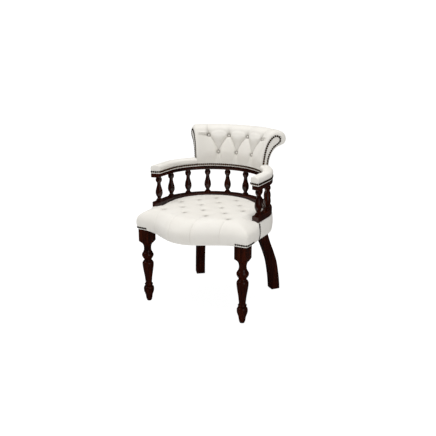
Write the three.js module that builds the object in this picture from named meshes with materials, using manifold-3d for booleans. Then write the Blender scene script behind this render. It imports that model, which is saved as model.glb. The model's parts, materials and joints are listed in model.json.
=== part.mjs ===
import * as THREE from 'three';
import { mergeVertices } from 'three/addons/utils/BufferGeometryUtils.js';
import Module from 'manifold-3d';

// A captains chair: a deep-buttoned seat and rolled back on a bowed gallery of turned spindles.
// Millimetres, +Z up, the sitter faces -Y. Heights are measured from the floor.

const wasm = await Module();
wasm.setup();

// Driving dimensions of the whole chair
const gap = 0.3;
const weldShare = 0.001;
const cutOverrun = 20;
const galleryCentreY = -72;
const galleryEndAngle = 105;
const armStraightShare = 0.987;
const backEndAngle = 45;
const seatUnderside = 387;
const skirtHeight = 83;
const galleryHeight = 170;
const backRise = 219;

// Gallery: two bent rails with turned spindles between them
const spindleRingRadius = 282;
const railWidth = 40;
const lowerRailThickness = 27;
const upperRailThickness = 16;
const railEdgeEasing = 3;
const spindleCount = 10;
const spindlePitchAngle = 22;
const spindleDiameter = 36;
const spindleSideCount = 12;

// Front legs: a square block above a turned length, with a post up inside the frame
const frontLegSetIn = 31;
const frontLegY = -249;
const legBlockSide = 62;
const legBlockHeight = 63;
const legPostSide = 38;
const legSideCount = 14;

// Rear legs: square stock, set diagonally under the frame and curving outwards to the floor
const rearLegPlaceAngle = 40.12;
const rearLegSetIn = 10;
const rearLegSide = 49;
const rearLegEdge = 3;
const rearLegSweep = 106;
const rearLegTurnAngle = 38;

// Seat: a sprung frame inside a padded skirt, with a bowed front edge
const seatSideCover = 2;
const seatCornerRounding = 12;
const seatBowDepth = 97;
const seatBowEndInset = 35;
const skirtThickness = 8;
const frameRailThickness = 28;
const frameFrontHeight = 49;
const bandSwell = 5;
const frameJointAngle = 60;
const cornerBlockHeight = 36;
const cornerBlockReach = 92;
const rearBlockDepth = 41;
const webbingThickness = 3;
const webbingWidth = 50;
const webbingPitch = 96;
const webbingStrapCount = 5;
const dustCoverThickness = 2;
const dustCoverInset = 12;
const dustCoverSlack = 1.5;

// Seat cushion: its crown, its swell over the frame and the grid of its tufts
const seatCrownRise = 26;
const seatRearDrop = 20;
const seatRearFall = 47;
const seatSideDrop = 38;
const seatSkirtOverrise = 20;
const seatSideFall = 105;
const skirtSwell = 9;
const seatTuftSideInset = 123;
const seatTuftPitchY = 78.75;
const seatTuftFrontY = -223;
const seatTuftDepth = 19;
const seatTuftReach = 14;
const seatCreaseDepth = 8;
const seatCreaseReach = 12;
const seatPleatDepth = 4;
const seatPleatReach = 9;
const seatCellCount = 3;

// Arms: one bent board along the upper rail, padded on both sides of the back
const armBoardWidth = 30;
const armBoardSetIn = 3;
const armBoardThickness = 26;
const armPadInnerCover = 8;
const armPadOuterCover = 6;
const armPadHeight = 47;
const armPadEndCover = 6;

// Back: a bent panel with a rolled head, tufted in front and plain behind
const backFaceCover = 5;
const backRearCover = 6.37;
const backSweep = 123.5;
const outsideBackThickness = 3;
const backPanelThickness = 9;
const rollHeadRadius = 15;
const facingThickness = 5;
const facingInset = 3;
const backEndRounding = 5;
const backTuftPitchAngle = 10.5;
const backTuftDepth = 21;
const backTuftReach = 15;
const backCreaseDepth = 9;
const backCreaseReach = 11;

// Buttons on seat and back
const buttonRadius = 7;
const buttonCrown = 3.5;
const buttonShank = 6.5;
const buttonSideCount = 8;

// Heights and radii that follow from the sizes above
const legTurnedLength = seatUnderside - legBlockHeight;
const seatRimHeight = seatUnderside + skirtHeight;
const seatCrownHeight = seatRimHeight + seatCrownRise;
const lowerRailTop = seatRimHeight + lowerRailThickness;
const armBoardBottom = seatRimHeight + galleryHeight;
const upperRailBottom = armBoardBottom - upperRailThickness;
const armBoardTop = armBoardBottom + gap + armBoardThickness;
const railInnerRadius = spindleRingRadius - railWidth / 2;
const railOuterRadius = spindleRingRadius + railWidth / 2;
const bandOuterRadius = railOuterRadius;
const frontLegX = armStraightShare * railOuterRadius - frontLegSetIn;
const seatCornerX = frontLegX + legBlockSide / 2 + seatSideCover;
const seatBowHalfWidth = seatCornerX - seatBowEndInset;
const seatTuftPitchX = (seatCornerX - seatTuftSideInset) / 3;
const armBoardMiddleRadius = spindleRingRadius - armBoardSetIn;
const armBoardInnerRadius = armBoardMiddleRadius - armBoardWidth / 2;
const armBoardOuterRadius = armBoardMiddleRadius + armBoardWidth / 2;
const armPadInnerRadius = armBoardInnerRadius - armPadInnerCover;
const armPadOuterRadius = armBoardOuterRadius + armPadOuterCover;
const backFaceRadius = armBoardInnerRadius - backFaceCover;
const backRearRadius = armBoardOuterRadius + backRearCover;
const frameBottom = seatUnderside + gap;
const frameFrontTop = frameBottom + frameFrontHeight;
const frameInset = skirtThickness + gap;
const frameInnerInset = frameInset + frameRailThickness;
const frameInnerRadius = bandOuterRadius - frameInnerInset;
const seatFrontY = frontLegY - legBlockSide / 2;

const materials = {
  mahogany: { color: 0x2a0d06, roughness: 0.25, metalness: 0 },
  leather: { color: 0xeeebe4, roughness: 0.5, metalness: 0 },
  frame_wood: { color: 0xc2a06c, roughness: 0.8, metalness: 0 },
  webbing: { color: 0x4a3b2a, roughness: 0.9, metalness: 0 },
  dust_cloth: { color: 0x17171a, roughness: 0.95, metalness: 0 },
};

const radians = (angle) => THREE.MathUtils.degToRad(angle);
const mix = (a, b, share) => a + (b - a) * share;
const quarterTurnAngle = 90;
const squareShares = [[-0.5, -0.5], [0.5, -0.5], [0.5, 0.5], [-0.5, 0.5]];

// All bent pieces are laid out on the same run of flats, so that nested faces stay parallel
const flatAngles = (() => {
  const rearStep = backTuftPitchAngle / 2;
  const armStepCount = 8;
  const half = [];
  for (let angle = 0; angle < backEndAngle; angle += rearStep) {
    half.push(angle);
  }
  for (let k = 0; k <= armStepCount; k++) {
    half.push(mix(backEndAngle, galleryEndAngle, k / armStepCount));
  }
  return [...half.slice(1).reverse().map((angle) => -angle), ...half];
})();

// The gallery's plan is a circle whose arms run on straight ahead, as a share of the radius
function armShare(angle) {
  const turn = Math.abs(angle);
  const straight = armStraightShare / Math.abs(Math.sin(radians(angle)));
  if (turn > quarterTurnAngle) {
    return straight;
  }
  return turn > backEndAngle ? Math.min(1, straight) : 1;
}

// How far out a flat lies at an angle, as a share of the radius
function flatShare(angle) {
  const next = flatAngles.findIndex((corner) => corner >= angle);
  if (next < 1) {
    return armShare(angle);
  }
  const [from, to] = [flatAngles[next - 1], flatAngles[next]];
  const [fromShare, toShare] = [armShare(from), armShare(to)];
  const span = fromShare * Math.sin(radians(angle - from)) + toShare * Math.sin(radians(to - angle));
  return fromShare * toShare * Math.sin(radians(to - from)) / span;
}

// A place on the gallery: radius and height, at an angle from the rear, slid on along the tangent
function ringPoint(radius, height, { angle, slide = 0 }) {
  const a = radians(angle);
  const r = radius * flatShare(angle);
  return new THREE.Vector3(
    r * Math.sin(a) + slide * Math.cos(a),
    galleryCentreY + r * Math.cos(a) - slide * Math.sin(a),
    height,
  );
}

// The stations of a bent piece from one angle to another, with every corner of the flats between
function ringStations(from, to, fromSlide = 0, toSlide = 0) {
  const between = flatAngles.filter((angle) => angle > from && angle < to);
  return [
    { angle: from, slide: fromSlide },
    ...between.map((angle) => ({ angle })),
    { angle: to, slide: toSlide },
  ];
}

// Turns a closed mesh's faces outwards
function facingOut(geometry) {
  const position = geometry.getAttribute('position');
  const index = geometry.getIndex();
  const [a, b, c] = [new THREE.Vector3(), new THREE.Vector3(), new THREE.Vector3()];
  let volume = 0;
  for (let k = 0; k < index.count; k += 3) {
    a.fromBufferAttribute(position, index.getX(k));
    b.fromBufferAttribute(position, index.getX(k + 1));
    c.fromBufferAttribute(position, index.getX(k + 2));
    volume += a.dot(b.cross(c));
  }
  if (volume < 0) {
    for (let k = 0; k < index.count; k += 3) {
      const first = index.getX(k);
      index.setX(k, index.getX(k + 1));
      index.setX(k + 1, first);
    }
  }
  return geometry;
}

// A closed body through stations. sectionAt gives a station's outline as Vector2s, placeAt puts an
// outline point into space, and where depthAt is given each facet folds along its deeper diagonal.
function loft(stations, sectionAt, placeAt, depthAt = null) {
  const sections = stations.map(sectionAt);
  const count = sections[0].length;
  const positions = [];
  const indices = [];
  sections.forEach((section, row) => {
    section.forEach((point, k) => {
      positions.push(...placeAt(point, stations[row], k).toArray());
    });
  });
  for (let row = 0; row < stations.length - 1; row++) {
    for (let k = 0; k < count; k++) {
      const next = (k + 1) % count;
      const near = row * count;
      const far = near + count;
      const [a, b, c, d] = [near + k, near + next, far + next, far + k];
      const depth = (r, m) => (depthAt ? depthAt(stations[r], m) : 0);
      const alongAC = depth(row, k) + depth(row + 1, next);
      const alongBD = depth(row, next) + depth(row + 1, k);
      if (alongAC >= alongBD) {
        indices.push(a, b, c, a, c, d);
      } else {
        indices.push(a, b, d, b, c, d);
      }
    }
  }
  // Both caps wind against the walls, whichever way the outline turns
  const clockwise = THREE.ShapeUtils.isClockWise(sections[0]);
  const last = (stations.length - 1) * count;
  for (const [start, outline, turned] of [[0, sections[0], !clockwise], [last, sections.at(-1), clockwise]]) {
    for (const [i, j, k] of THREE.ShapeUtils.triangulateShape(outline, [])) {
      indices.push(start + (turned ? k : i), start + j, start + (turned ? i : k));
    }
  }
  const geometry = new THREE.BufferGeometry();
  geometry.setAttribute('position', new THREE.Float32BufferAttribute(positions, 3));
  geometry.setIndex(indices);
  return facingOut(geometry);
}

function bend(section, stations) {
  return loft(stations, () => section, (point, station) => ringPoint(point.x, point.y, station));
}

function upright(outline, bottom, top) {
  const shape = new THREE.Shape(outline);
  const geometry = new THREE.ExtrudeGeometry(shape, { depth: top - bottom, bevelEnabled: false });
  return geometry.translate(0, 0, bottom);
}

function square(x, y, side, turnAngle = 0) {
  return squareShares.map(([u, v]) => {
    const corner = new THREE.Vector2(u * side, v * side);
    corner.rotateAround(new THREE.Vector2(), radians(turnAngle));
    return corner.add(new THREE.Vector2(x, y));
  });
}

function ringOutline(radius, from, to) {
  return ringStations(from, to).map((station) => {
    const point = ringPoint(radius, 0, station);
    return new THREE.Vector2(point.x, point.y);
  });
}

function turned(profile, sides) {
  const geometry = new THREE.LatheGeometry(profile.map(([r, z]) => new THREE.Vector2(r, z)), sides);
  return geometry.rotateX(Math.PI / 2);
}

// A mesh of positions alone, its shared corners made one
function welded(geometry) {
  const bare = geometry.clone();
  for (const name of Object.keys(bare.attributes)) {
    if (name !== 'position') {
      bare.deleteAttribute(name);
    }
  }
  return mergeVertices(bare, gap * weldShare);
}

// Joins and cuts are made on solids
function solid(geometry) {
  const merged = facingOut(welded(geometry));
  return new wasm.Manifold(new wasm.Mesh({
    numProp: 3,
    vertProperties: new Float32Array(merged.getAttribute('position').array),
    triVerts: new Uint32Array(merged.getIndex().array),
  }));
}

function surface(body) {
  const mesh = body.getMesh();
  const geometry = new THREE.BufferGeometry();
  geometry.setAttribute('position', new THREE.Float32BufferAttribute(mesh.vertProperties, 3));
  geometry.setIndex([...mesh.triVerts]);
  return geometry;
}

const chair = new THREE.Group();

function addPiece(name, geometry, material) {
  const mesh = new THREE.Mesh(geometry, new THREE.MeshStandardMaterial(materials[material]));
  mesh.name = name;
  mesh.material.name = material;
  chair.add(mesh);
  return mesh;
}

// A right-hand piece and its mirror image
function addPair(name, geometry, material) {
  addPiece(`${name}_right`, geometry, material);
  const mirrored = welded(geometry).scale(-1, 1, 1);
  addPiece(`${name}_left`, facingOut(mirrored), material);
}

// Moves each point of a line to its left by a distance, keeping the corners square to both sides
function offsetLine(points, distance, closed = false) {
  const count = points.length;
  return points.map((point, k) => {
    const before = closed || k > 0 ? points[(k - 1 + count) % count] : null;
    const after = closed || k < count - 1 ? points[(k + 1) % count] : null;
    const normals = [[before, point], [point, after]]
      .filter(([from, to]) => from && to)
      .map(([from, to]) => new THREE.Vector2(from.y - to.y, to.x - from.x).normalize());
    const normal = normals[0].clone().add(normals[normals.length - 1]).normalize();
    return point.clone().addScaledVector(normal, distance / normal.dot(normals[0]));
  });
}

// The part of a rising line above a height, starting on that height
function above(line, height) {
  const first = line.findIndex((point) => point.y > height);
  const [low, high] = [line[first - 1], line[first]];
  const start = low.clone().lerp(high, (height - low.y) / (high.y - low.y));
  return [start, ...line.slice(first)];
}

// Front legs: diameters over the block's side, and heights over the turned length
const legTurningShares = [
  [0.00, 0.37], [0.015, 0.435], [0.05, 0.52], [0.09, 0.575], [0.13, 0.705], [0.17, 0.83], [0.20, 0.85],
  [0.225, 0.815], [0.247, 0.66], [0.262, 0.53], [0.272, 0.67], [0.284, 0.67], [0.296, 0.52],
  [0.32, 0.535], [0.40, 0.615], [0.475, 0.735], [0.55, 0.855], [0.627, 0.925], [0.645, 0.88],
  [0.664, 0.775], [0.688, 0.60], [0.719, 0.755], [0.744, 0.90], [0.769, 0.955], [0.796, 0.86],
  [0.824, 0.69], [0.852, 0.605], [0.883, 0.585], [0.914, 0.625], [0.948, 0.76], [0.969, 0.95],
  [0.988, 1.20], [1.00, 1.43],
];

function frontLeg() {
  const half = legBlockSide / 2;
  const profile = [[0, 0]];
  for (const [height, radius] of legTurningShares) {
    profile.push([radius * half, height * legTurnedLength]);
  }
  const widest = profile[profile.length - 1][0];
  profile.push([widest, seatUnderside], [0, seatUnderside]);
  const blank = solid(upright(square(0, 0, legBlockSide), -cutOverrun, seatUnderside + cutOverrun));
  const post = solid(upright(square(0, 0, legPostSide), seatUnderside - cutOverrun, frameFrontTop));
  const leg = solid(turned(profile, legSideCount)).intersect(blank).add(post);
  return surface(leg).translate(frontLegX, frontLegY, 0);
}

addPair('front_leg', frontLeg(), 'mahogany');

// Rear legs: how far in the leg stands from its foot, up its height
const rearLegCurveShares = [
  [0, 0], [0.115, 0.035], [0.23, 0.09], [0.40, 0.205], [0.555, 0.39], [0.70, 0.60], [0.81, 0.735], [1, 1],
];
const rearLegOutward = new THREE.Vector2(
  Math.sin(radians(rearLegTurnAngle)),
  Math.cos(radians(rearLegTurnAngle)),
);
const rearLegTopRadius = frameInnerRadius - rearLegSetIn;
const rearLegTop = new THREE.Vector2(
  rearLegTopRadius * Math.sin(radians(rearLegPlaceAngle)),
  galleryCentreY + rearLegTopRadius * Math.cos(radians(rearLegPlaceAngle)),
);

function edgedSquare(side, edge) {
  const half = side / 2;
  const inner = half - edge;
  return [
    [half, -inner], [half, inner], [inner, half], [-inner, half],
    [-half, inner], [-half, -inner], [-inner, -half], [inner, -half],
  ].map(([x, y]) => new THREE.Vector2(x, y));
}

function rearLeg() {
  const section = edgedSquare(rearLegSide, rearLegEdge);
  return loft(rearLegCurveShares, () => section, (point, [height, inward]) => {
    const corner = point.clone().rotateAround(new THREE.Vector2(), -radians(rearLegTurnAngle));
    corner.addScaledVector(rearLegOutward, (1 - inward) * rearLegSweep);
    return new THREE.Vector3(rearLegTop.x + corner.x, rearLegTop.y + corner.y, height * seatUnderside);
  });
}

addPair('rear_leg', rearLeg(), 'mahogany');

// Gallery rails: a flat section with eased edges, bent round three quarters of the circle
function railSection(bottom, top) {
  const e = railEdgeEasing;
  return [
    [railInnerRadius, bottom + e], [railInnerRadius + e, bottom],
    [railOuterRadius - e, bottom], [railOuterRadius, bottom + e],
    [railOuterRadius, top - e], [railOuterRadius - e, top],
    [railInnerRadius + e, top], [railInnerRadius, top - e],
  ].map(([r, z]) => new THREE.Vector2(r, z));
}

const galleryStations = ringStations(-galleryEndAngle, galleryEndAngle);
addPiece('lower_rail', bend(railSection(seatRimHeight, lowerRailTop), galleryStations), 'mahogany');
addPiece('upper_rail', bend(railSection(upperRailBottom, armBoardBottom), galleryStations), 'mahogany');

// Spindles: flared base, vase and top ball; radii over half the diameter, heights over the length
const spindleTurningShares = [
  [0, 0.83], [0.08, 0.56], [0.125, 0.42], [0.17, 0.56], [0.24, 0.85], [0.33, 1.0], [0.43, 0.92],
  [0.58, 0.58], [0.69, 0.45], [0.77, 0.54], [0.83, 0.71], [0.885, 0.78], [0.94, 0.72], [1, 0.61],
];

function spindle() {
  const length = upperRailBottom - lowerRailTop - 2 * gap;
  const profile = spindleTurningShares.map(([z, r]) => [r * spindleDiameter / 2, z * length]);
  return turned([[0, 0], ...profile, [0, length]], spindleSideCount);
}

for (let k = 0; k < spindleCount; k++) {
  const angle = (k - (spindleCount - 1) / 2) * spindlePitchAngle;
  const name = `spindle_${String(k + 1).padStart(2, '0')}`;
  const mesh = addPiece(name, spindle(), 'mahogany');
  const a = radians(angle);
  mesh.position.set(
    spindleRingRadius * Math.sin(a),
    galleryCentreY + spindleRingRadius * Math.cos(a),
    lowerRailTop + gap,
  );
  mesh.rotation.z = -a;
}

// Seat plan: the bowed front between the corners, the sides, and the gallery's circle behind
const pleatColumns = [-3, -1, 1, 3];
const frontEndShares = [0.2, 0.5, 0.8];
const sideWaistShares = [0.4, 0.5];
const bowY = (x) => {
  const share = Math.min(Math.abs(x) / seatBowHalfWidth, 1);
  return seatFrontY - seatBowDepth * (1 + Math.cos(Math.PI * share)) / 2;
};

// Places across the front's pleats: two to each tuft's pitch, and one on each side of every pleat
const lastPleat = Math.max(...pleatColumns);
const lastPleatX = lastPleat * seatTuftPitchX + seatPleatReach;
const pleatedXs = (() => {
  const xs = [];
  for (let k = -2 * lastPleat; k <= 2 * lastPleat; k++) {
    xs.push(k * seatTuftPitchX / 2);
  }
  for (const column of pleatColumns) {
    xs.push(column * seatTuftPitchX - seatPleatReach, column * seatTuftPitchX + seatPleatReach);
  }
  return xs.sort((a, b) => a - b);
})();

// The plan drawn in all round by an inset. Beyond the last pleat the front closes up to the corner.
function seatPlan(inset) {
  const rounding = Math.max(seatCornerRounding - inset, seatCornerRounding / 4);
  const straightEnd = seatCornerX - inset - rounding;
  const endXs = frontEndShares.map((share) => mix(lastPleatX, straightEnd, share));
  const frontXs = [...endXs.map((x) => -x).reverse(), ...pleatedXs, ...endXs];
  const front = frontXs.map((x) => new THREE.Vector2(x, bowY(x) + inset));
  const cornerCentre = new THREE.Vector2(straightEnd, seatFrontY + inset + rounding);
  const sideEnd = ringPoint(bandOuterRadius - inset, 0, { angle: galleryEndAngle });
  const waist = new THREE.Vector2(
    mix(seatCornerX - inset, sideEnd.x, sideWaistShares[0]),
    mix(cornerCentre.y, sideEnd.y, sideWaistShares[1]),
  );
  const diagonal = rounding * Math.SQRT1_2;
  const right = [
    new THREE.Vector2(straightEnd, seatFrontY + inset),
    new THREE.Vector2(straightEnd + diagonal, cornerCentre.y - diagonal),
    new THREE.Vector2(seatCornerX - inset, cornerCentre.y),
    waist,
    new THREE.Vector2(sideEnd.x, sideEnd.y),
  ];
  const rear = ringOutline(bandOuterRadius - inset, -galleryEndAngle, galleryEndAngle).reverse().slice(1, -1);
  const left = right.map((point) => new THREE.Vector2(-point.x, point.y)).reverse();
  return [...front, ...right, ...rear, ...left];
}

// Seat frame: one run of rails under the gallery, sawn into front, side and rear rails
const planReach = 2 * seatCornerX;
const postHalf = legPostSide / 2;
const frontRailHalf = frontLegX - postHalf - gap;
const sideRailFrontY = frontLegY + postHalf + gap;
const galleryPlace = (angle, slide = 0) => {
  const point = ringPoint(planReach, 0, { angle, slide });
  return new THREE.Vector2(point.x, point.y);
};
const galleryCentre = new THREE.Vector2(0, galleryCentreY);

const frameRun = (() => {
  const top = seatRimHeight - gap;
  const outer = solid(upright(seatPlan(frameInset), frameBottom, top));
  const inner = solid(upright(seatPlan(frameInnerInset), frameBottom - cutOverrun, top + cutOverrun));
  const ahead = [
    galleryCentre,
    galleryPlace(-galleryEndAngle),
    new THREE.Vector2(-planReach, -planReach),
    new THREE.Vector2(planReach, -planReach),
    galleryPlace(galleryEndAngle),
  ];
  return outer.subtract(inner).subtract(solid(upright(ahead, frameFrontTop, top + cutOverrun)));
})();

function sawnRail(plan) {
  const share = solid(upright(plan, frameBottom - cutOverrun, seatRimHeight + cutOverrun));
  return surface(frameRun.intersect(share));
}

addPiece('seat_rail_front', sawnRail([
  new THREE.Vector2(-frontRailHalf, -planReach),
  new THREE.Vector2(frontRailHalf, -planReach),
  new THREE.Vector2(frontRailHalf, galleryCentreY),
  new THREE.Vector2(-frontRailHalf, galleryCentreY),
]), 'frame_wood');

addPair('seat_rail', sawnRail([
  new THREE.Vector2(planReach, sideRailFrontY),
  galleryPlace(frameJointAngle),
  galleryCentre,
  new THREE.Vector2(0, sideRailFrontY),
]), 'frame_wood');

const rearJointStart = ringPoint(0, 0, { angle: frameJointAngle, slide: -gap });
addPiece('seat_rail_rear', sawnRail([
  new THREE.Vector2(0, rearJointStart.y),
  galleryPlace(frameJointAngle, -gap),
  new THREE.Vector2(0, planReach),
  galleryPlace(-frameJointAngle, gap),
]), 'frame_wood');

const ringBox = (inner, outer, bottom, top) => [
  [inner, bottom], [outer, bottom], [outer, top], [inner, top],
].map(([r, z]) => new THREE.Vector2(r, z));

// Corner blocks glued into the frame, the front pair round the posts, the rear pair over the legs
const frameInside = solid(upright(seatPlan(frameInnerInset + gap), frameBottom - cutOverrun, frameFrontTop));

const postRooms = [1, -1].map((side) => solid(upright(
  square(side * frontLegX, frontLegY, legPostSide + 2 * gap),
  frameBottom - cutOverrun,
  frameFrontTop + cutOverrun,
)));

function frontBlock() {
  const x = seatCornerX;
  const y = seatFrontY;
  const plan = [
    new THREE.Vector2(x, y),
    new THREE.Vector2(x, y + cornerBlockReach + frameInnerInset),
    new THREE.Vector2(x - cornerBlockReach - frameInnerInset, y),
  ];
  const blank = solid(upright(plan, frameBottom, frameBottom + cornerBlockHeight));
  return surface(blank.intersect(frameInside).subtract(postRooms[0]));
}

addPair('front_corner_block', frontBlock(), 'frame_wood');

function rearBlock() {
  const outer = frameInnerRadius - gap;
  const section = ringBox(outer - rearBlockDepth, outer, frameBottom, frameBottom + cornerBlockHeight);
  const halfAngle = backTuftPitchAngle;
  const middle = rearLegTurnAngle;
  return bend(section, ringStations(middle - halfAngle, middle + halfAngle));
}

addPair('rear_corner_block', rearBlock(), 'frame_wood');

// Webbing: straps both ways across the frame, level with the front rail's top
const webbingTop = frameFrontTop;
const webbingBottom = webbingTop - webbingThickness;
const seatMiddleY = (bowY(0) + galleryCentreY + frameInnerRadius) / 2;

function webbing() {
  let lattice = null;
  for (let k = 0; k < webbingStrapCount; k++) {
    const place = (k - (webbingStrapCount - 1) / 2) * webbingPitch;
    for (const [x, y, wide, deep] of [
      [place, seatMiddleY, webbingWidth, planReach],
      [0, seatMiddleY + place, planReach, webbingWidth],
    ]) {
      const plan = squareShares.map(([u, v]) => new THREE.Vector2(x + u * wide, y + v * deep));
      const strap = solid(upright(plan, webbingBottom, webbingTop));
      lattice = lattice ? lattice.add(strap) : strap;
    }
  }
  const inside = solid(upright(seatPlan(frameInnerInset + gap), frameBottom, frameFrontTop + cutOverrun));
  return surface(postRooms.reduce((body, room) => body.subtract(room), lattice.intersect(inside)));
}

addPiece('seat_webbing', webbing(), 'webbing');

// Dust cover: a cloth under the frame, cut round the legs
function dustCover() {
  const top = seatUnderside - gap;
  const bottom = top - dustCoverThickness;
  const cloth = solid(upright(seatPlan(dustCoverInset), bottom, top));
  let cut = cloth;
  for (const side of [-1, 1]) {
    for (const plan of [
      square(side * frontLegX, frontLegY, legBlockSide + dustCoverSlack),
      square(side * rearLegTop.x, rearLegTop.y, rearLegSide + 2 * dustCoverSlack, -side * rearLegTurnAngle),
    ]) {
      cut = cut.subtract(solid(upright(plan, bottom - cutOverrun, top + cutOverrun)));
    }
  }
  return surface(cut);
}

addPiece('dust_cover', dustCover(), 'dust_cloth');

// Outer band: padded leather round the frame, under the lower rail
const bandSwellShares = [0, 0.75, 1, 0.75, 0];

function outerBand() {
  const inner = bandOuterRadius - skirtThickness;
  const top = seatRimHeight - gap;
  const outer = bandSwellShares.map((swell, k) => new THREE.Vector2(
    bandOuterRadius + swell * bandSwell,
    mix(seatUnderside, top, k / (bandSwellShares.length - 1)),
  ));
  const section = [new THREE.Vector2(inner, seatUnderside), ...outer, new THREE.Vector2(inner, top)];
  return bend(section, galleryStations);
}

addPiece('seat_outer_band', outerBand(), 'leather');

// Seat cushion: buttons stand on a lattice where column plus row is odd
const seatTuftRows = [[1, 3], [0, 2], [1, 3], [0, 2], [1]];
const seatTufts = seatTuftRows.flatMap((columns, row) => {
  const both = columns.flatMap((column) => (column ? [-column, column] : [0]));
  return both.sort((a, b) => a - b).map((column) => new THREE.Vector2(
    column * seatTuftPitchX,
    seatTuftFrontY + row * seatTuftPitchY,
  ));
});

// Creases join neighbouring tufts along the diamonds, and pleats run from the front tufts forward
const seatCreases = (() => {
  const lines = [];
  for (const from of seatTufts) {
    for (const to of seatTufts) {
      const across = Math.abs(from.x - to.x) / seatTuftPitchX;
      const along = (to.y - from.y) / seatTuftPitchY;
      if (Math.round(across) === 1 && Math.round(along) === 1) {
        lines.push([from, to]);
      }
    }
    if (from.y < seatTuftFrontY + seatTuftPitchY / 2) {
      lines.push([from, new THREE.Vector2(from.x, bowY(from.x))]);
    }
  }
  return lines;
})();

function distanceToLine(point, [from, to]) {
  const along = to.clone().sub(from);
  const share = point.clone().sub(from).dot(along) / along.lengthSq();
  return point.distanceTo(from.clone().addScaledVector(along, THREE.MathUtils.clamp(share, 0, 1)));
}

function tuftDepth(point, tufts, creases, size) {
  let pit = 0;
  for (const tuft of tufts) {
    pit = Math.max(pit, Math.exp(-((point.distanceTo(tuft) / size.tuftReach) ** 2)));
  }
  let crease = 0;
  for (const line of creases) {
    crease = Math.max(crease, 1 - distanceToLine(point, line) / size.creaseReach);
  }
  return Math.max(size.tuftDepth * pit, size.creaseDepth * crease);
}

const seatTuftSize = {
  tuftDepth: seatTuftDepth,
  tuftReach: seatTuftReach,
  creaseDepth: seatCreaseDepth,
  creaseReach: seatCreaseReach,
};

// The crown falls away to the sides, and to the gallery behind the arms' front ends
const armFrontY = ringPoint(spindleRingRadius, 0, { angle: galleryEndAngle }).y;

function seatTop(x, y) {
  const radius = Math.hypot(x, y - galleryCentreY);
  const inward = THREE.MathUtils.smoothstep(radius, frameInnerRadius - seatRearFall, frameInnerRadius);
  const behind = THREE.MathUtils.smoothstep(y, armFrontY - seatRearFall, armFrontY);
  const beside = Math.max(0, Math.abs(x) - (seatCornerX - seatSideFall)) / seatSideFall;
  const fall = Math.max(seatRearDrop * inward * behind, seatSideDrop * beside * beside);
  return seatCrownHeight - fall - tuftDepth(new THREE.Vector2(x, y), seatTufts, seatCreases, seatTuftSize);
}

// The crown is a sheet of cells over the lattice, closed below as a thick slab
function seatCrownSlab() {
  const cellX = seatTuftPitchX / seatCellCount;
  const cellY = seatTuftPitchY / seatCellCount;
  const halfColumns = Math.ceil((seatCornerX + cutOverrun) / cellX);
  const firstRow = Math.floor((bowY(0) - cutOverrun - seatTuftFrontY) / cellY);
  const lastRow = Math.ceil((galleryCentreY + frameInnerRadius - seatTuftFrontY) / cellY);
  const bottom = seatUnderside - cutOverrun;
  const columns = [];
  for (let k = -halfColumns; k <= halfColumns; k++) {
    columns.push(k * cellX);
  }
  const rows = [];
  for (let k = firstRow; k <= lastRow; k++) {
    rows.push(seatTuftFrontY + k * cellY);
  }
  const topHeights = new Map();
  const topAt = (x, y) => {
    const key = `${x},${y}`;
    if (!topHeights.has(key)) {
      topHeights.set(key, seatTop(x, y));
    }
    return topHeights.get(key);
  };
  const outline = (y) => [
    ...columns.map((x) => new THREE.Vector2(x, topAt(x, y))),
    new THREE.Vector2(columns[columns.length - 1], bottom),
    new THREE.Vector2(columns[0], bottom),
  ];
  return loft(
    rows,
    outline,
    (point, y) => new THREE.Vector3(point.x, y, point.y),
    (y, k) => (k < columns.length ? -topAt(columns[k], y) : 0),
  );
}

// The side of the cushion: it swells over the frame and draws in to the crown
const skirtRiseShares = [0, 0.30, 0.52, 0.72, 0.88, 1.0];
const skirtSwellShares = [0, 1.0, 0.5, -1.5, -4.5, -8.5];
const pleatRiseShares = [0, 0.7, 1.0, 1.0, 0.6, 0];

function seatSkirtBody() {
  const height = seatCrownHeight + seatSkirtOverrise - frameBottom;
  const levels = skirtRiseShares.map((rise, k) => ({ rise, k }));
  const isPleat = (m) => {
    const x = pleatedXs[m - frontEndShares.length];
    return pleatColumns.some((column) => x === column * seatTuftPitchX);
  };
  return loft(
    levels,
    ({ k }) => seatPlan(-skirtSwell * skirtSwellShares[k]).map((point, m) => {
      const pulled = isPleat(m) ? seatPleatDepth * pleatRiseShares[k] : 0;
      return new THREE.Vector2(point.x, point.y + pulled);
    }),
    (point, { rise }) => new THREE.Vector3(point.x, point.y, frameBottom + rise * height),
  );
}

function seatCushion() {
  const bottom = frameBottom - cutOverrun;
  const top = seatCrownHeight + cutOverrun;
  const frameRoom = solid(upright(seatPlan(skirtThickness), bottom, frameFrontTop + gap));
  const outer = railOuterRadius + cutOverrun;
  const section = ringBox(railInnerRadius - gap, outer, bottom - cutOverrun, top + cutOverrun);
  const galleryRoom = solid(bend(section, ringStations(-galleryEndAngle, galleryEndAngle, -gap, gap)));
  const stuffed = solid(seatCrownSlab()).intersect(solid(seatSkirtBody()));
  return surface(stuffed.subtract(frameRoom).subtract(galleryRoom));
}

addPiece('seat_cushion', seatCushion(), 'leather');

// Buttons: a domed top on a cone that seats in the tuft
const buttonProfileShares = [[1, 0], [0.85, 0.45], [0.5, 0.85], [0, 1]];

function button() {
  const dome = buttonProfileShares.map(([r, z]) => [r * buttonRadius, buttonShank + z * buttonCrown]);
  return turned([[0, 0], ...dome], buttonSideCount);
}

const up = new THREE.Vector3(0, 0, 1);

function addButton(name, seat, outward) {
  const mesh = addPiece(name, button(), 'leather');
  mesh.position.copy(seat).addScaledVector(outward, 2 * gap);
  mesh.quaternion.setFromUnitVectors(up, outward);
}

seatTufts.forEach((tuft, k) => {
  const seat = new THREE.Vector3(tuft.x, tuft.y, seatTop(tuft.x, tuft.y));
  addButton(`seat_button_${String(k + 1).padStart(2, '0')}`, seat, up);
});

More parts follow.
